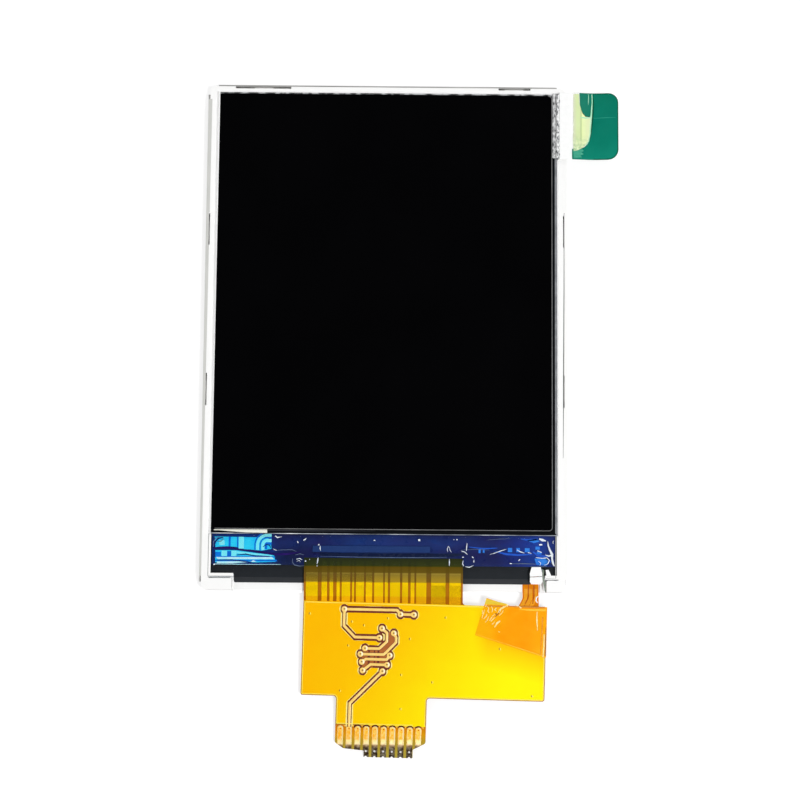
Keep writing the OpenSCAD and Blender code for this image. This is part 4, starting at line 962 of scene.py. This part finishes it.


# Painted glints on the pinched ridges and bubble rims of the sealant, in millimetres: points along each, and widths
GLINTS = [
    ([(-7.3, -24.74), (-7.36, -25.0), (-7.28, -25.3)], (0.03, 0.12, 0.03)),
    ([(-7.55, -24.66), (-7.45, -24.54)], (0.14, 0.1)),
    ([(-7.56, -26.05), (-7.6, -26.4), (-7.7, -26.86)], (0.04, 0.13, 0.05)),
    ([(-7.72, -27.04), (-7.6, -27.04)], (0.08, 0.08)),
    ([(-9.3, -24.1), (-9.1, -24.0), (-8.95, -23.86)], (0.1, 0.12, 0.03)),
    ([(-10.0, -24.2), (-9.9, -24.4)], (0.05, 0.11)),
    ([(-1.16, -24.04), (-0.98, -24.04)], (0.12, 0.12)),
    ([(-12.6, -23.6), (-12.3, -23.82), (-11.8, -23.7)], (0.08, 0.14, 0.03)),
    ([(-12.8, -25.12), (-12.4, -25.3)], (0.06, 0.08)),
    ([(-10.1, -26.3), (-9.7, -26.2), (-9.4, -26.36)], (0.04, 0.09, 0.04)),
    ([(-10.05, -26.56), (-9.75, -26.42), (-9.6, -26.62)], (0.03, 0.07, 0.03)),
    ([(-9.08, -26.5), (-8.94, -26.5)], (0.14, 0.14)), ([(-8.6, -26.3), (-8.5, -26.3)], (0.08, 0.08)),
    ([(4.0, -23.98), (4.24, -23.98)], (0.22, 0.22)),
    ([(8.08, -23.9), (8.18, -23.9)], (0.09, 0.09)), ([(8.42, -23.9), (8.56, -23.88)], (0.12, 0.12)),
    ([(9.66, -24.28), (9.62, -24.7), (9.58, -25.2)], (0.04, 0.11, 0.05)),
    ([(7.44, -25.32), (7.36, -25.0), (7.5, -24.66), (7.62, -24.8), (7.7, -25.16), (7.86, -25.36)],
     (0.05, 0.07, 0.08, 0.06, 0.06, 0.04)),
    ([(7.6, -26.12), (7.62, -26.5), (7.62, -26.92)], (0.04, 0.12, 0.05)),
    ([(9.0, -25.2), (9.4, -25.32), (9.72, -25.6)], (0.05, 0.1, 0.04)),
    ([(9.1, -25.92), (9.28, -25.9)], (0.1, 0.1)),
    ([(9.2, -26.3), (9.14, -26.7), (9.34, -26.95)], (0.06, 0.12, 0.04)),
    ([(10.24, -25.84), (10.42, -25.98)], (0.1, 0.1)), ([(10.46, -26.2), (10.44, -26.5)], (0.06, 0.1)),
    ([(9.5, -27.0), (9.95, -27.06), (10.4, -26.86)], (0.06, 0.1, 0.04)),
    ([(12.3, -25.58), (13.0, -25.36), (13.7, -25.1), (14.2, -24.95)], (0.03, 0.07, 0.1, 0.03)),
    ([(15.4, -25.0), (15.9, -25.26), (16.3, -25.36)], (0.05, 0.1, 0.05)),
    ([(16.7, -25.3), (17.1, -25.42)], (0.08, 0.06)), ([(17.8, -25.1), (18.3, -25.3)], (0.1, 0.08)),
    ([(18.0, -23.72), (18.4, -23.86), (18.8, -23.96)], (0.14, 0.3, 0.1)),
    ([(18.0, -24.4), (18.36, -24.4)], (0.16, 0.16)),
    ([(19.0, -24.0), (19.06, -24.5), (19.24, -25.0), (19.5, -25.5), (19.5, -26.0), (19.6, -26.5), (19.76, -26.86)],
     (0.06, 0.16, 0.22, 0.3, 0.2, 0.24, 0.1)),
    ([(19.5, -25.6), (19.1, -25.7), (18.7, -25.56)], (0.2, 0.16, 0.05)),
    ([(17.6, -25.88), (18.3, -25.96), (18.9, -25.9), (19.2, -26.2), (19.0, -26.6), (18.6, -26.76)],
     (0.05, 0.1, 0.1, 0.12, 0.08, 0.04)),
    ([(17.9, -26.3), (18.2, -26.5), (18.1, -26.8)], (0.04, 0.08, 0.04)),
    ([(19.7, -23.9), (19.6, -24.1), (19.66, -24.3)], (0.04, 0.08, 0.04)),
    ([(15.6, -26.3), (15.8, -26.1)], (0.06, 0.1)), ([(14.6, -26.6), (14.86, -26.6)], (0.12, 0.08)),
    ([(-19.66, -26.96), (-19.5, -26.94)], (0.16, 0.12)),
]
# Painted sheens on the sealant, in millimetres: points along each, and widths
SHEENS = [
    ([(-7.3, -25.92), (-4, -25.98), (0, -26.0), (4, -26.0), (7.3, -25.94)], (0.03, 0.05, 0.06, 0.06, 0.03)),
    ([(-19.72, -24.9), (-19.7, -24.3), (-19.4, -23.9), (-18.9, -23.8)], (0.04, 0.07, 0.07, 0.03)),
    ([(-19.4, -24.3), (-18.9, -24.35), (-18.6, -24.1), (-18.62, -23.84)], (0.03, 0.07, 0.07, 0.04)),
    ([(-12.5, -25.3), (-11.6, -25.22), (-10.6, -25.2), (-10.1, -25.4)], (0.06, 0.05, 0.06, 0.03)),
    ([(-10.5, -26.2), (-10.56, -26.6), (-10.3, -26.96), (-9.7, -27.08), (-9.2, -27.04)],
     (0.03, 0.08, 0.1, 0.08, 0.03)),
    ([(-10.2, -25.8), (-9.7, -25.66), (-9.2, -25.78)], (0.04, 0.07, 0.04)),
    ([(9.0, -25.1), (10.5, -24.98), (12.2, -25.06)], (0.03, 0.05, 0.03)),
    ([(14.9, -26.62), (16.4, -26.6), (17.6, -26.64)], (0.05, 0.08, 0.05)),
    ([(17.0, -26.9), (18.0, -26.96), (18.9, -26.9)], (0.05, 0.08, 0.05)),
    ([(11.9, -23.9), (13.2, -23.78), (14.6, -23.72)], (0.03, 0.05, 0.03)),
]


# ---- Edges of the display ----

def dress_display():
    """Painted highlights on cut edges of film and glass, and a painted pale band mirrored in the glass margin."""
    low, high = (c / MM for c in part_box("protective_film"))
    film_z = high.z * MM
    # Cut edge of the film, drawn on its right and lower sides only: painted highlight.
    grey = mottled("cut_film_highlight", srgb(70, 70, 72), srgb(150, 150, 150), 3 * MM, (0.2, 0.4))
    outline = shapes([box_outline(low.x, low.y, high.x, high.y, 0.45)])[0]
    edge_strip("film_cut_highlight", outline, 0.01 * MM, 0.09 * MM, grey, "protective_film", flat(film_z), 0.003 * MM,
               lambda x, y: x > 19 * MM or y < -22.4 * MM and x > -19.6 * MM)
    low, high = (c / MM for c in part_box("colour_filter_glass"))
    # Right and lower cut edges of the glass: ground glass with painted highlight.
    ground = Surface("ground_glass_highlight", srgb(190, 196, 204), 0.4)
    patches = ground.ramp(ground.noise(1.6 * MM, 4.0, (3, 3, 1)),
                          [(0.38, srgb(56, 62, 76)), (0.52, srgb(150, 158, 172)), (0.66, srgb(236, 240, 246))])
    ground.colour(patches)
    ground.rough(ground.noise(0.3 * MM), 0.3, 0.6)
    outline = shapes([bar(low.x, low.y, high.x, high.y)])[0]
    edge_strip("glass_cut_low", outline, 0.0, 0.08 * MM, ground, "cell_glass", flat(high.z * MM), 0.004 * MM,
               lambda x, y: y < -22.4 * MM and x < 19.9 * MM)
    side = mottled("ground_side_highlight", srgb(92, 94, 98), srgb(160, 162, 166), 0.8 * MM, (0.3, 0.6))
    edge_strip("glass_cut_right", outline, 0.0, 0.28 * MM, side, "cell_glass", flat(high.z * MM), 0.004 * MM,
               lambda x, y: x > 19 * MM and y > -23.2 * MM)
    dashes = Surface("ground_corner", srgb(20, 22, 26), 0.4)
    dashes.colour(dashes.ramp(dashes.noise(0.5 * MM, 2.0, (1.6, 1.6, 1)),
                              [(0.44, srgb(50, 52, 54)), (0.6, srgb(184, 186, 188))]))
    dashes.rough(dashes.noise(0.3 * MM), 0.3, 0.6)
    edge_strip("glass_cut_far", outline, 0.0, 0.2 * MM, dashes, "cell_glass", flat(high.z * MM), 0.004 * MM,
               lambda x, y: -20 * MM < x < 19 * MM and y > -22.4 * MM)
    # Clear borders of the glass, which show the white frame below them, up to the frame's rim
    border = mottled("clear_border", srgb(249, 249, 248), srgb(253, 253, 253), 2 * MM, (0.3, 0.5), specular=0.2)
    rim_z, glass_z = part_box("mould_frame")[1].z, high.z * MM
    steps = [(-20.32, rim_z), (low.x, glass_z), (low.x + 0.1, film_z), (-19.9, film_z)]
    plate("clear_border_left", shapes([
        bar(-20.32, low.y, low.x, high.y), bar(low.x, low.y, low.x + 0.1, high.y),
        [(low.x + 0.1, low.y), (low.x + 0.12, low.y), (-19.9, high.y), (low.x + 0.1, high.y)]]), border, "cell_glass",
          lambda x, y: level_at(steps, x / MM) + 0.003 * MM, 0.004 * MM, 2 * MM)
    plate("clear_border_far", shapes([bar(-20.32, high.y, 19.6, 29.3)]), border, "cell_glass",
          lambda x, y: level_at([(high.y, glass_z), (29.3, rim_z)], y / MM) + 0.003 * MM, 0.004 * MM, 2 * MM)
    plate("clear_border_right", shapes([bar(high.x, low.y, 20.32, 21.2)]), border, "cell_glass",
          lambda x, y: level_at([(high.x, glass_z), (20.32, rim_z)], x / MM) + 0.003 * MM, 0.004 * MM, 2 * MM)
    pale = mottled("margin_glare", srgb(238, 238, 222), srgb(252, 252, 242), 2 * MM, (0.2, 0.4))
    plate("margin_glare", shapes([
        [(-19.7, -22.92), (-19.0, -22.9), (-13.5, -22.88), (-13.5, -23.28), (-16.0, -23.24), (-17.8, -23.12),
         (-19.1, -23.02), (-19.7, -23.02)]]), pale, "cell_glass", flat(high.z * MM), 0.004 * MM)
    dim = mottled("margin_shade", srgb(34, 36, 46), srgb(60, 62, 70), 2 * MM, (0.2, 0.4))
    plate("margin_shade", shapes([ribbon([(-13.4, -22.98), (-8, -23.0), (-1, -22.96)], (0.16, 0.12, 0.03))]),
          dim, "cell_glass", flat(high.z * MM), 0.003 * MM)


# ---- Tapes and pull tab ----

def amber_tape():
    made = Surface("amber_tape", srgb(255, 158, 7), 0.2, specular=0.25)
    made.set(**{"Specular Tint": AMBER_SHEEN})
    tone = made.ramp(made.along((10.7 * MM, -32 * MM), (18.9 * MM, -34.3 * MM)), [
        (0.0, srgb(252, 182, 10)), (0.28, srgb(252, 174, 6)), (0.45, srgb(255, 156, 0)),
        (0.75, srgb(255, 154, 0)), (0.9, srgb(254, 164, 4)), (1.0, srgb(252, 172, 8))])
    cloud = made.ramp(made.noise(1.6 * MM, 4.0), [(0.3, srgb(255, 148, 0)), (0.75, srgb(252, 180, 16))])
    made.colour(made.mixed(tone, cloud, 0.22))
    made.rough(made.noise(0.8 * MM), 0.14, 0.3)
    made.bump(made.noise(1.1 * MM), 0.012 * MM)
    return made


def dress_amber_tape():
    """Painted glints on the creases where the tape was pressed down, its free corner, and a strip along its fold round
    the edge.
    """
    top = top_of("amber_tape")

    def over_tape(level):
        return lambda x, y: top(x, y) + level * LAYER
    # Light streaks along the creases: painted highlight.
    crease = mottled("tape_crease_glint", srgb(255, 214, 90), srgb(255, 246, 190), 0.4 * MM, (0.08, 0.2))
    plate("tape_creases", shapes([ribbon(*stroke) for stroke in CREASE_GLINTS]), crease, "amber_tape", over_tape(1),
          3 * LAYER, 0.2 * MM)
    free = mottled("tape_corner", srgb(228, 190, 44), srgb(242, 212, 70), 1.2 * MM, (0.1, 0.25))
    plate("tape_corner", shapes([[(11.9, -30.68), (14.4, -31.26), (14.3, -31.36), (11.7, -31.3)]]), free, "amber_tape",
          over_tape(1), LAYER)
    line = mottled("tape_underline", srgb(196, 116, 6), srgb(226, 140, 10), 1 * MM, (0.2, 0.35))
    plate("tape_underline", [[on_body(x, y) for x, y in ribbon([(20.9, -0.02), (24, 0.0), (27.9, -0.02)],
                                                               (0.14, 0.16, 0.2))]],
          line, "amber_tape", over_tape(1), LAYER)
    band = mottled("tape_top_light", srgb(254, 184, 24), srgb(255, 212, 60), 1 * MM, (0.12, 0.25))
    plate("tape_top_light", [[on_body(x, y) for x, y in ribbon([(24.9, -0.3), (26, -0.34), (28.0, -0.3)],
                                                               (0.06, 0.2, 0.26))]],
          band, "amber_tape", over_tape(1), LAYER)
    plate("tape_low_edge", [[on_body(x, y) for x, y in ribbon([(20.0, -3.32), (24, -4.46), (27.7, -5.56)],
                                                              (0.05, 0.08, 0.08))]],
          band, "amber_tape", over_tape(1), LAYER)
    fleck = mottled("tape_fleck", srgb(120, 60, 2), srgb(176, 96, 4), 0.3 * MM, (0.2, 0.35))
    plate("tape_flecks", shapes([
        ribbon([(13.5, -32.0), (13.3, -32.4), (12.9, -32.8)], (0.04, 0.1, 0.05)),
        ribbon([(13.0, -32.34), (13.16, -32.5)], (0.12, 0.1)),
        ribbon([(18.82, -33.9), (18.78, -35.4), (18.74, -37.2)], (0.04, 0.1, 0.12))]),
          fleck, "amber_tape", over_tape(4), LAYER, 0.2 * MM)
    fold = mottled("tape_fold", srgb(222, 128, 4), srgb(244, 158, 12), 0.8 * MM, (0.12, 0.3))
    plate("tape_fold", [[on_body(x, y) for x, y in ribbon([(27.66, -1.1), (27.62, -3.0), (27.5, -5.4)],
                                                          (0.16, 0.12, 0.1))]],
          fold, "amber_tape", over_tape(1), LAYER)


# Painted glints on the creases of the amber tape, in millimetres: points along each, and widths
CREASE_GLINTS = [
    ([(14.34, -31.42), (13.95, -31.6), (13.6, -31.8), (13.4, -32.16), (13.26, -32.34)], (0.06, 0.2, 0.16, 0.24, 0.06)),
    ([(14.2, -31.2), (14.38, -31.46), (14.3, -31.6)], (0.05, 0.12, 0.05)),
    ([(13.1, -31.7), (12.9, -31.9), (13.1, -32.1)], (0.06, 0.14, 0.06)),
    ([(13.52, -33.2), (13.2, -33.44), (12.86, -33.96)], (0.14, 0.22, 0.06)),
    ([(13.1, -32.6), (12.8, -32.9), (12.46, -33.26)], (0.04, 0.1, 0.08)),
    ([(12.9, -32.4), (12.6, -32.7), (12.3, -33.2)], (0.04, 0.08, 0.06)),
    ([(12.05, -31.5), (12.2, -31.8), (12.1, -32.1), (12.25, -32.3)], (0.04, 0.08, 0.08, 0.04)),
    ([(11.75, -31.9), (11.6, -32.3), (11.42, -32.9)], (0.04, 0.1, 0.06)),
    ([(12.0, -32.4), (11.9, -32.7), (11.62, -33.0)], (0.05, 0.1, 0.05)),
    ([(11.9, -31.3), (11.86, -31.6)], (0.06, 0.1)),
    ([(17.79, -32.12), (17.76, -33.0), (17.84, -34.26)], (0.08, 0.16, 0.06)),
    ([(18.62, -34.7), (18.58, -36.0), (18.5, -37.3)], (0.1, 0.16, 0.14)),
    ([(15.7, -31.5), (15.95, -31.72)], (0.06, 0.16)), ([(15.2, -31.42), (15.6, -31.5)], (0.04, 0.08)),
    ([(12.5, -31.5), (12.66, -31.9), (12.56, -32.2)], (0.04, 0.1, 0.05)),
    ([(13.9, -31.95), (13.7, -32.3), (13.4, -32.6)], (0.04, 0.08, 0.05)),
    ([(12.2, -32.7), (12.06, -33.1), (11.8, -33.4)], (0.04, 0.09, 0.04)),
    ([(11.5, -32.0), (11.46, -32.4)], (0.04, 0.08)), ([(12.9, -33.3), (12.6, -33.6)], (0.05, 0.08)),
    ([(13.36, -34.4), (13.5, -34.5)], (0.1, 0.06)),
]


def tab_film():
    made = Surface("green_film", srgb(8, 122, 102), 0.2, specular=0.25)
    tone = made.ramp(made.along((24.5 * MM, 28.5 * MM), (26.6 * MM, 21.2 * MM)), [
        (0.0, srgb(10, 122, 98)), (0.35, srgb(3, 116, 96)), (0.7, srgb(6, 126, 104)), (1.0, srgb(18, 140, 118))])
    cloud = made.ramp(made.noise(2.5 * MM), [(0.3, srgb(4, 112, 92)), (0.75, srgb(24, 140, 118))])
    made.colour(made.mixed(tone, cloud, 0.3))
    made.rough(made.noise(0.8 * MM), 0.14, 0.28)
    made.bump(made.noise(1.2 * MM), 0.006 * MM)
    return made


def dress_tab():
    """Adhesive patches, and the ridge between them drawn as a painted highlight with painted shade beside it."""
    top = top_of("pull_tab")

    def over_tab(level):
        return lambda x, y: top(x, y) + level * LAYER
    cream = Surface("tab_adhesive", srgb(216, 228, 180), 0.35)
    tone = cream.ramp(cream.along((22.1 * MM, 0), (24.2 * MM, 0)), [
        (0.0, srgb(222, 228, 196)), (0.2, srgb(220, 238, 176)), (0.36, srgb(220, 236, 178)),
        (0.43, srgb(190, 212, 146)), (0.5, srgb(238, 252, 186)), (1.0, srgb(232, 240, 194))])
    foam = cream.ramp(cream.noise(0.35 * MM, 4.0), [(0.4, srgb(172, 204, 150)), (0.62, srgb(238, 250, 206))])
    low_down = cream.ramp(cream.along((0, 24.2 * MM), (0, 22.6 * MM)), [(0.0, (0, 0, 0, 1)), (1.0, (1, 1, 1, 1))])
    cream.colour(cream.mixed(tone, foam, cream.product(low_down, 0.85)))
    cream.rough(cream.noise(0.4 * MM), 0.2, 0.5)
    cream.bump(cream.noise(0.4 * MM), 0.02 * MM)
    plate("tab_adhesive", shapes([
        [(22.08, 29.2), (22.76, 29.2), (22.8, 28.1), (23.08, 27.05), (23.5, 26.46), (24.12, 26.36), (24.14, 25.3),
         (24.02, 23.95), (23.7, 23.2), (23.2, 22.66), (22.6, 22.34), (22.1, 22.2), (22.0, 23.5), (22.05, 26.5)]]),
          cream, "clear_tape", over_tab(0.3), 2 * LAYER, across=True)
    lobe = mottled("tab_lobe", srgb(18, 116, 96), srgb(36, 134, 110), 1.5 * MM, (0.12, 0.25))
    plate("tab_lobe", shapes([
        [(22.8, 29.28), (22.84, 28.1), (23.12, 27.08), (23.54, 26.5), (24.05, 26.48), (24.12, 27.6), (24.2, 29.28)]]),
          lobe, "green_tab", over_tab(0.4), 2 * LAYER, across=True)
    # Pale line along the ridge: painted highlight, with painted shade beside it.
    ridge = mottled("tab_ridge_highlight", srgb(110, 220, 170), srgb(226, 255, 226), 1.2 * MM, (0.08, 0.2))
    plate("tab_ridges", shapes([
        ribbon([(24.32, 29.2), (24.34, 28.2), (24.24, 26.8), (24.16, 25.6), (24.08, 24.4), (23.9, 23.5),
                (23.5, 22.86)], (0.1, 0.13, 0.16, 0.15, 0.12, 0.1, 0.05)),
        ribbon([(22.9, 26.34), (23.6, 26.3), (24.2, 26.36)], (0.08, 0.16, 0.1)),
        ribbon([(23.9, 29.2), (23.92, 28.6), (23.86, 27.9)], (0.05, 0.08, 0.03))]),
          ridge, "green_tab", over_tab(2.8), 2 * LAYER, across=True)
    shade = mottled("tab_shade", srgb(0, 74, 50), srgb(4, 96, 70), 1.5 * MM, (0.2, 0.35), specular=0.2)
    plate("tab_shades", shapes([
        ribbon([(24.44, 29.2), (24.5, 28.0), (24.4, 26.4), (24.26, 25.0), (24.1, 23.8)],
               (0.06, 0.14, 0.16, 0.12, 0.04)),
        ribbon([(23.1, 27.0), (23.5, 26.5), (24.06, 26.46)], (0.04, 0.12, 0.1))]),
          shade, "green_tab", over_tab(1.2), LAYER, across=True)
    soft = mottled("tab_low_foam", srgb(22, 140, 114), srgb(96, 190, 160), 0.45 * MM, (0.15, 0.35), 0.01 * MM)
    plate("tab_low_foam", shapes([
        [(22.05, 22.3), (22.6, 22.36), (23.1, 22.5), (23.3, 22.3), (23.0, 22.1), (23.3, 21.9), (22.9, 21.7),
         (23.1, 21.5), (22.1, 21.4)]]),
          soft, "green_tab", over_tab(0.3), 1.5 * LAYER, across=True)
    faint = mottled("tab_line", srgb(30, 140, 118), srgb(48, 156, 132), 1 * MM, (0.15, 0.3))
    plate("tab_line", shapes([ribbon([(24.5, 26.3), (26, 26.34), (27.1, 26.32)], (0.06, 0.1, 0.05))]),
          faint, "green_tab", over_tab(0.3), LAYER, across=True)
    rim = mottled("tab_edge", srgb(0, 88, 66), srgb(2, 104, 78), 1.5 * MM, (0.2, 0.35))
    loop = max(plan_loops("pull_tab"), key=turn_of)
    edge_strip("tab_edge", loop, 0.02 * MM, 0.14 * MM, rim, "green_tab", over_tab(0.6), LAYER,
               lambda x, y: x > 24.3 * MM)


def milky_tape():
    made = mottled("milky_tape", srgb(251, 252, 251), srgb(254, 254, 254), 1.5 * MM, (0.2, 0.35), specular=0.3)
    # A faint glow keeps the tape white in shade: painted light.
    made.glow(0.08)
    share = made.ramp(made.along((20.3 * MM, 0), (22.3 * MM, 0)), [
        (0.0, (0, 0, 0, 1)), (0.1, (0.88, 0.88, 0.88, 1)), (0.84, (0.88, 0.88, 0.88, 1)), (0.9, (0, 0, 0, 1))])
    return made.see_through((1, 1, 1, 1), made.product(share, 1.0))


def dress_holding_tape():
    """Clear tape, whitish where it spans the rim, with a crumpled strip at the edge of the screen."""
    low, high = (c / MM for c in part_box("tab_tape"))
    top = top_of("tab_tape")
    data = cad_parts["tab_tape"].data
    data.materials.clear()
    data.materials.append(milky_tape().material)
    crumpled = Surface("crumpled_tape", srgb(240, 242, 242), 0.2, specular=0.5)
    fine = crumpled.ramp(crumpled.noise(0.22 * MM, 5.0, (0.8, 1.8, 1)), [
        (0.36, srgb(60, 62, 64)), (0.46, srgb(176, 178, 180)), (0.56, srgb(252, 252, 252))])
    split = crumpled.ramp(crumpled.along((19.7 * MM, 0), (20.45 * MM, 0)), [
        (0.0, (0.55, 0.55, 0.55, 1)), (0.28, (0.3, 0.3, 0.3, 1)), (0.36, (0.95, 0.95, 0.95, 1)),
        (0.46, (0.9, 0.9, 0.9, 1)), (0.56, (0.1, 0.1, 0.1, 1)), (1.0, (0.0, 0.0, 0.0, 1))])
    dark = crumpled.ramp(crumpled.noise(0.3 * MM, 4.0, (0.8, 2, 1)), [(0.4, srgb(16, 16, 18)), (0.62, srgb(190, 190, 190))])
    crumpled.colour(crumpled.mixed(fine, dark, split))
    crumpled.bump(crumpled.noise(0.3 * MM, 4.0), 0.02 * MM)

    def strip(x, y):
        x, y = x / MM, y / MM
        left = 19.6 + 0.06 * noise.noise((0, y / 0.4, 0))
        right = 20.4 + 0.16 * noise.noise((0, y / 0.5, 5))
        return min(x - left, right - x, high.y - 0.15 - y, y - low.y - 0.1)
    contour_sheet("tape_bridge", strip, (19.4 * MM, 21 * MM), (20.9 * MM, 29.4 * MM), 0.08 * MM, crumpled,
                  "clear_tape", lambda x, y: top(x, y) + 0.005 * MM,
                  lambda x, y: (0.02 + 0.015 * noise.noise((x / MM / 0.2, y / MM / 0.3, 2))) * MM)


# Half width of the moulded frame, and how far down its foot is, in millimetres
FRAME_HALF, FRAME_FOOT = 21.1, 29.87


def dress_frame():
    """Painted shade in a grey band along the left edge, white seam plates over the joint of the tray and the white
    frame that paint light over its shade, and lines moulded in the frame.
    """
    low, high = (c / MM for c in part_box("back_plate"))
    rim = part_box("mould_frame")[1].z + 0.002 * MM
    foot = top_of("back_plate")(0, (low.y + 0.1) * MM) + 0.002 * MM
    # Grey band along the left edge, the side away from the key lamp: painted shade.
    band_shade = mottled("left_shade_band", srgb(196, 197, 193), srgb(214, 214, 210), 3 * MM, (0.4, 0.6), specular=0.2)
    white = mottled("corner_white", srgb(250, 250, 249), srgb(253, 253, 252), 2 * MM, (0.4, 0.55), specular=0.2)
    hooks = ((-8.5, -4.5), (10.55, 14.55))
    spans = [(-28.3, hooks[0][0]), (hooks[0][1], hooks[1][0]), (hooks[1][1], 28.3)]
    out, slot_edge = 21.33, 20.99

    def inner(y):
        """Right edge of the band of painted shade, which narrows towards the flex end."""
        return level_at([(-28.3, -21.08), (28.3, -20.86)], y)
    plate("left_shade_band", shapes([[(-out, a), (inner(a), a), (inner(b), b), (-out, b)] for a, b in spans]
                              + [bar(-out, a, -slot_edge, b) for a, b in hooks]),
          band_shade, "white_plastic", flat(rim), 0.004 * MM, 2 * MM)
    # White plates over the seam on the right and its hook slots, which hide the seam's shade: painted light.
    plate("seam_right", shapes([bar(FRAME_HALF - 0.02, a, out, b) for a, b in spans]
                               + [bar(slot_edge, a, out, b) for a, b in hooks]),
          white, "white_plastic", flat(rim), 0.004 * MM, 2 * MM)
    # The seam at the foot is white and glows: painted light that keeps it white in shade.
    lit = mottled("light_seam", srgb(246, 246, 245), srgb(252, 252, 251), 3 * MM, (0.4, 0.6), specular=0.2)
    plate("seam_foot", shapes([bar(-17.4, low.y, 15.6, 0.01 - FRAME_FOOT)]), lit.glow(0.4), "steel", flat(foot),
          0.01 * MM, 2 * MM)
    # White lips over the gaps beside the lower corner posts, which hide their shade: painted light.
    plate("corner_lips", shapes([
        bar(-20.32, -28.34, -17.36, -27.94), bar(-20.32, -27.94, -20.0, -23.38),
        bar(18.7, -28.42, 20.32, -27.96), bar(20.06, -27.96, 20.32, -23.38)]),
          white, "white_plastic", flat(rim), 0.006 * MM, 2 * MM)
    line = mottled("moulded_line", srgb(150, 152, 152), srgb(206, 207, 206), 0.8 * MM, (0.4, 0.6), specular=0.2)
    plate("moulded_lines", shapes([
        ribbon([(-20.28, -23.4), (-20.3, -28.28), (-17.5, -28.3), (-17.52, -29.7)], (0.1, 0.1, 0.09, 0.03)),
        ribbon([(19.96, -23.4), (19.94, -28.26), (18.8, -28.26)], (0.1, 0.1, 0.08))]),
          line, "white_plastic", flat(rim + 0.006 * MM), 0.006 * MM)
    dark = mottled("side_line", srgb(72, 74, 72), srgb(128, 130, 128), 0.6 * MM, (0.4, 0.6), specular=0.2)
    plate("side_line", shapes([ribbon([(20.98, 14.8), (20.95, 5.0), (20.88, -5.0), (20.82, -14.3)],
                                      (0.05, 0.1, 0.12, 0.04))]), dark, "white_plastic", flat(rim), 0.006 * MM)


def dress_solder():
    """Painted glare on the solder where the backlight's tail joins, painted shade in the gap beside it, and the tail's
    dark lines.
    """
    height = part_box("mould_frame")[1].z + 0.04 * MM
    glare = mottled("solder_glare", srgb(250, 251, 251), srgb(254, 254, 254), 0.8 * MM, (0.2, 0.4), specular=0.2)
    plate("solder_glare", shapes([
        [(17.14, -27.0), (18.19, -26.98), (18.36, -27.7), (18.34, -28.03), (16.95, -28.1), (16.93, -27.7)],
        [(16.95, -28.16), (18.37, -28.11), (18.4, -28.68), (18.2, -28.98), (17.1, -28.96), (16.93, -28.7)],
        [(18.75, -27.3), (19.1, -27.28), (19.4, -27.96), (18.85, -27.98)]]),
          glare, "solder", flat(height), 0.05 * MM)
    # Dark streak in the gap beside the corner post: painted shade.
    gap_streak_shade = mottled("post_gap_shade", srgb(84, 98, 84), srgb(150, 160, 146), 0.4 * MM, (0.2, 0.4), specular=0.3)
    plate("post_gap_shade", shapes([ribbon([(18.5, -27.3), (18.45, -28.2), (18.64, -29.0), (18.77, -29.9)],
                                        (0.2, 0.16, 0.24, 0.06))]), gap_streak_shade, "solder", flat(height), 0.03 * MM)
    top = top_of("backlight_flex")
    dark = mottled("tail_line", srgb(176, 74, 2), srgb(206, 104, 6), 0.5 * MM, (0.3, 0.5), specular=0.15)
    plate("tail_lines", shapes([
        ribbon([(16.84, -29.0), (16.82, -30.2), (16.7, -30.7), (16.4, -31.2)], (0.1, 0.12, 0.12, 0.1)),
        ribbon([(17.47, -29.0), (17.47, -30.3), (17.3, -31.2)], (0.12, 0.14, 0.1))]),
          dark, "backlight_flex", lambda x, y: top(x, y) + 6 * LAYER, LAYER, 0.2 * MM)
    plate("tail_glint", shapes([
        ribbon([(17.98, -30.3), (17.74, -30.5), (17.7, -30.8), (17.86, -31.1)], (0.06, 0.16, 0.18, 0.08))]),
          glare, "backlight_flex", lambda x, y: top(x, y) + 8 * LAYER, LAYER, 0.2 * MM)


def top_of(node):
    """Height of the top of a CAD node at a plan point; beside the node, that of its nearest point."""
    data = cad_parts[node].data
    tree = BVHTree.FromPolygons([v.co for v in data.vertices], [p.vertices for p in data.polygons])
    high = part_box(node)[1].z

    def height(x, y):
        hit = tree.ray_cast(Vector((x, y, 1)), Vector((0, 0, -1)))[0]
        return (hit or tree.find_nearest(Vector((x, y, high)))[0]).z
    return height


# ---- Scene ----

node_materials()
dress_traces()
dress_film_edges()
dress_pads()
dress_ledge()
dress_sealant()
dress_display()
dress_amber_tape()
dress_tab()
dress_holding_tape()
dress_frame()
dress_solder()

add_camera()
add_world()
add_lamp("key", (0.155, -0.14, 0.52), (0.09, 0.09), 1.75)
add_lamp("fill", (-0.34, 0.10, 0.36), (0.3, 0.3), 0.5)
add_lamp("back", (0.05, 0.42, 0.34), (0.3, 0.2), 0.45)
add_floor()
bpy.context.scene.view_settings.view_transform = "Standard"
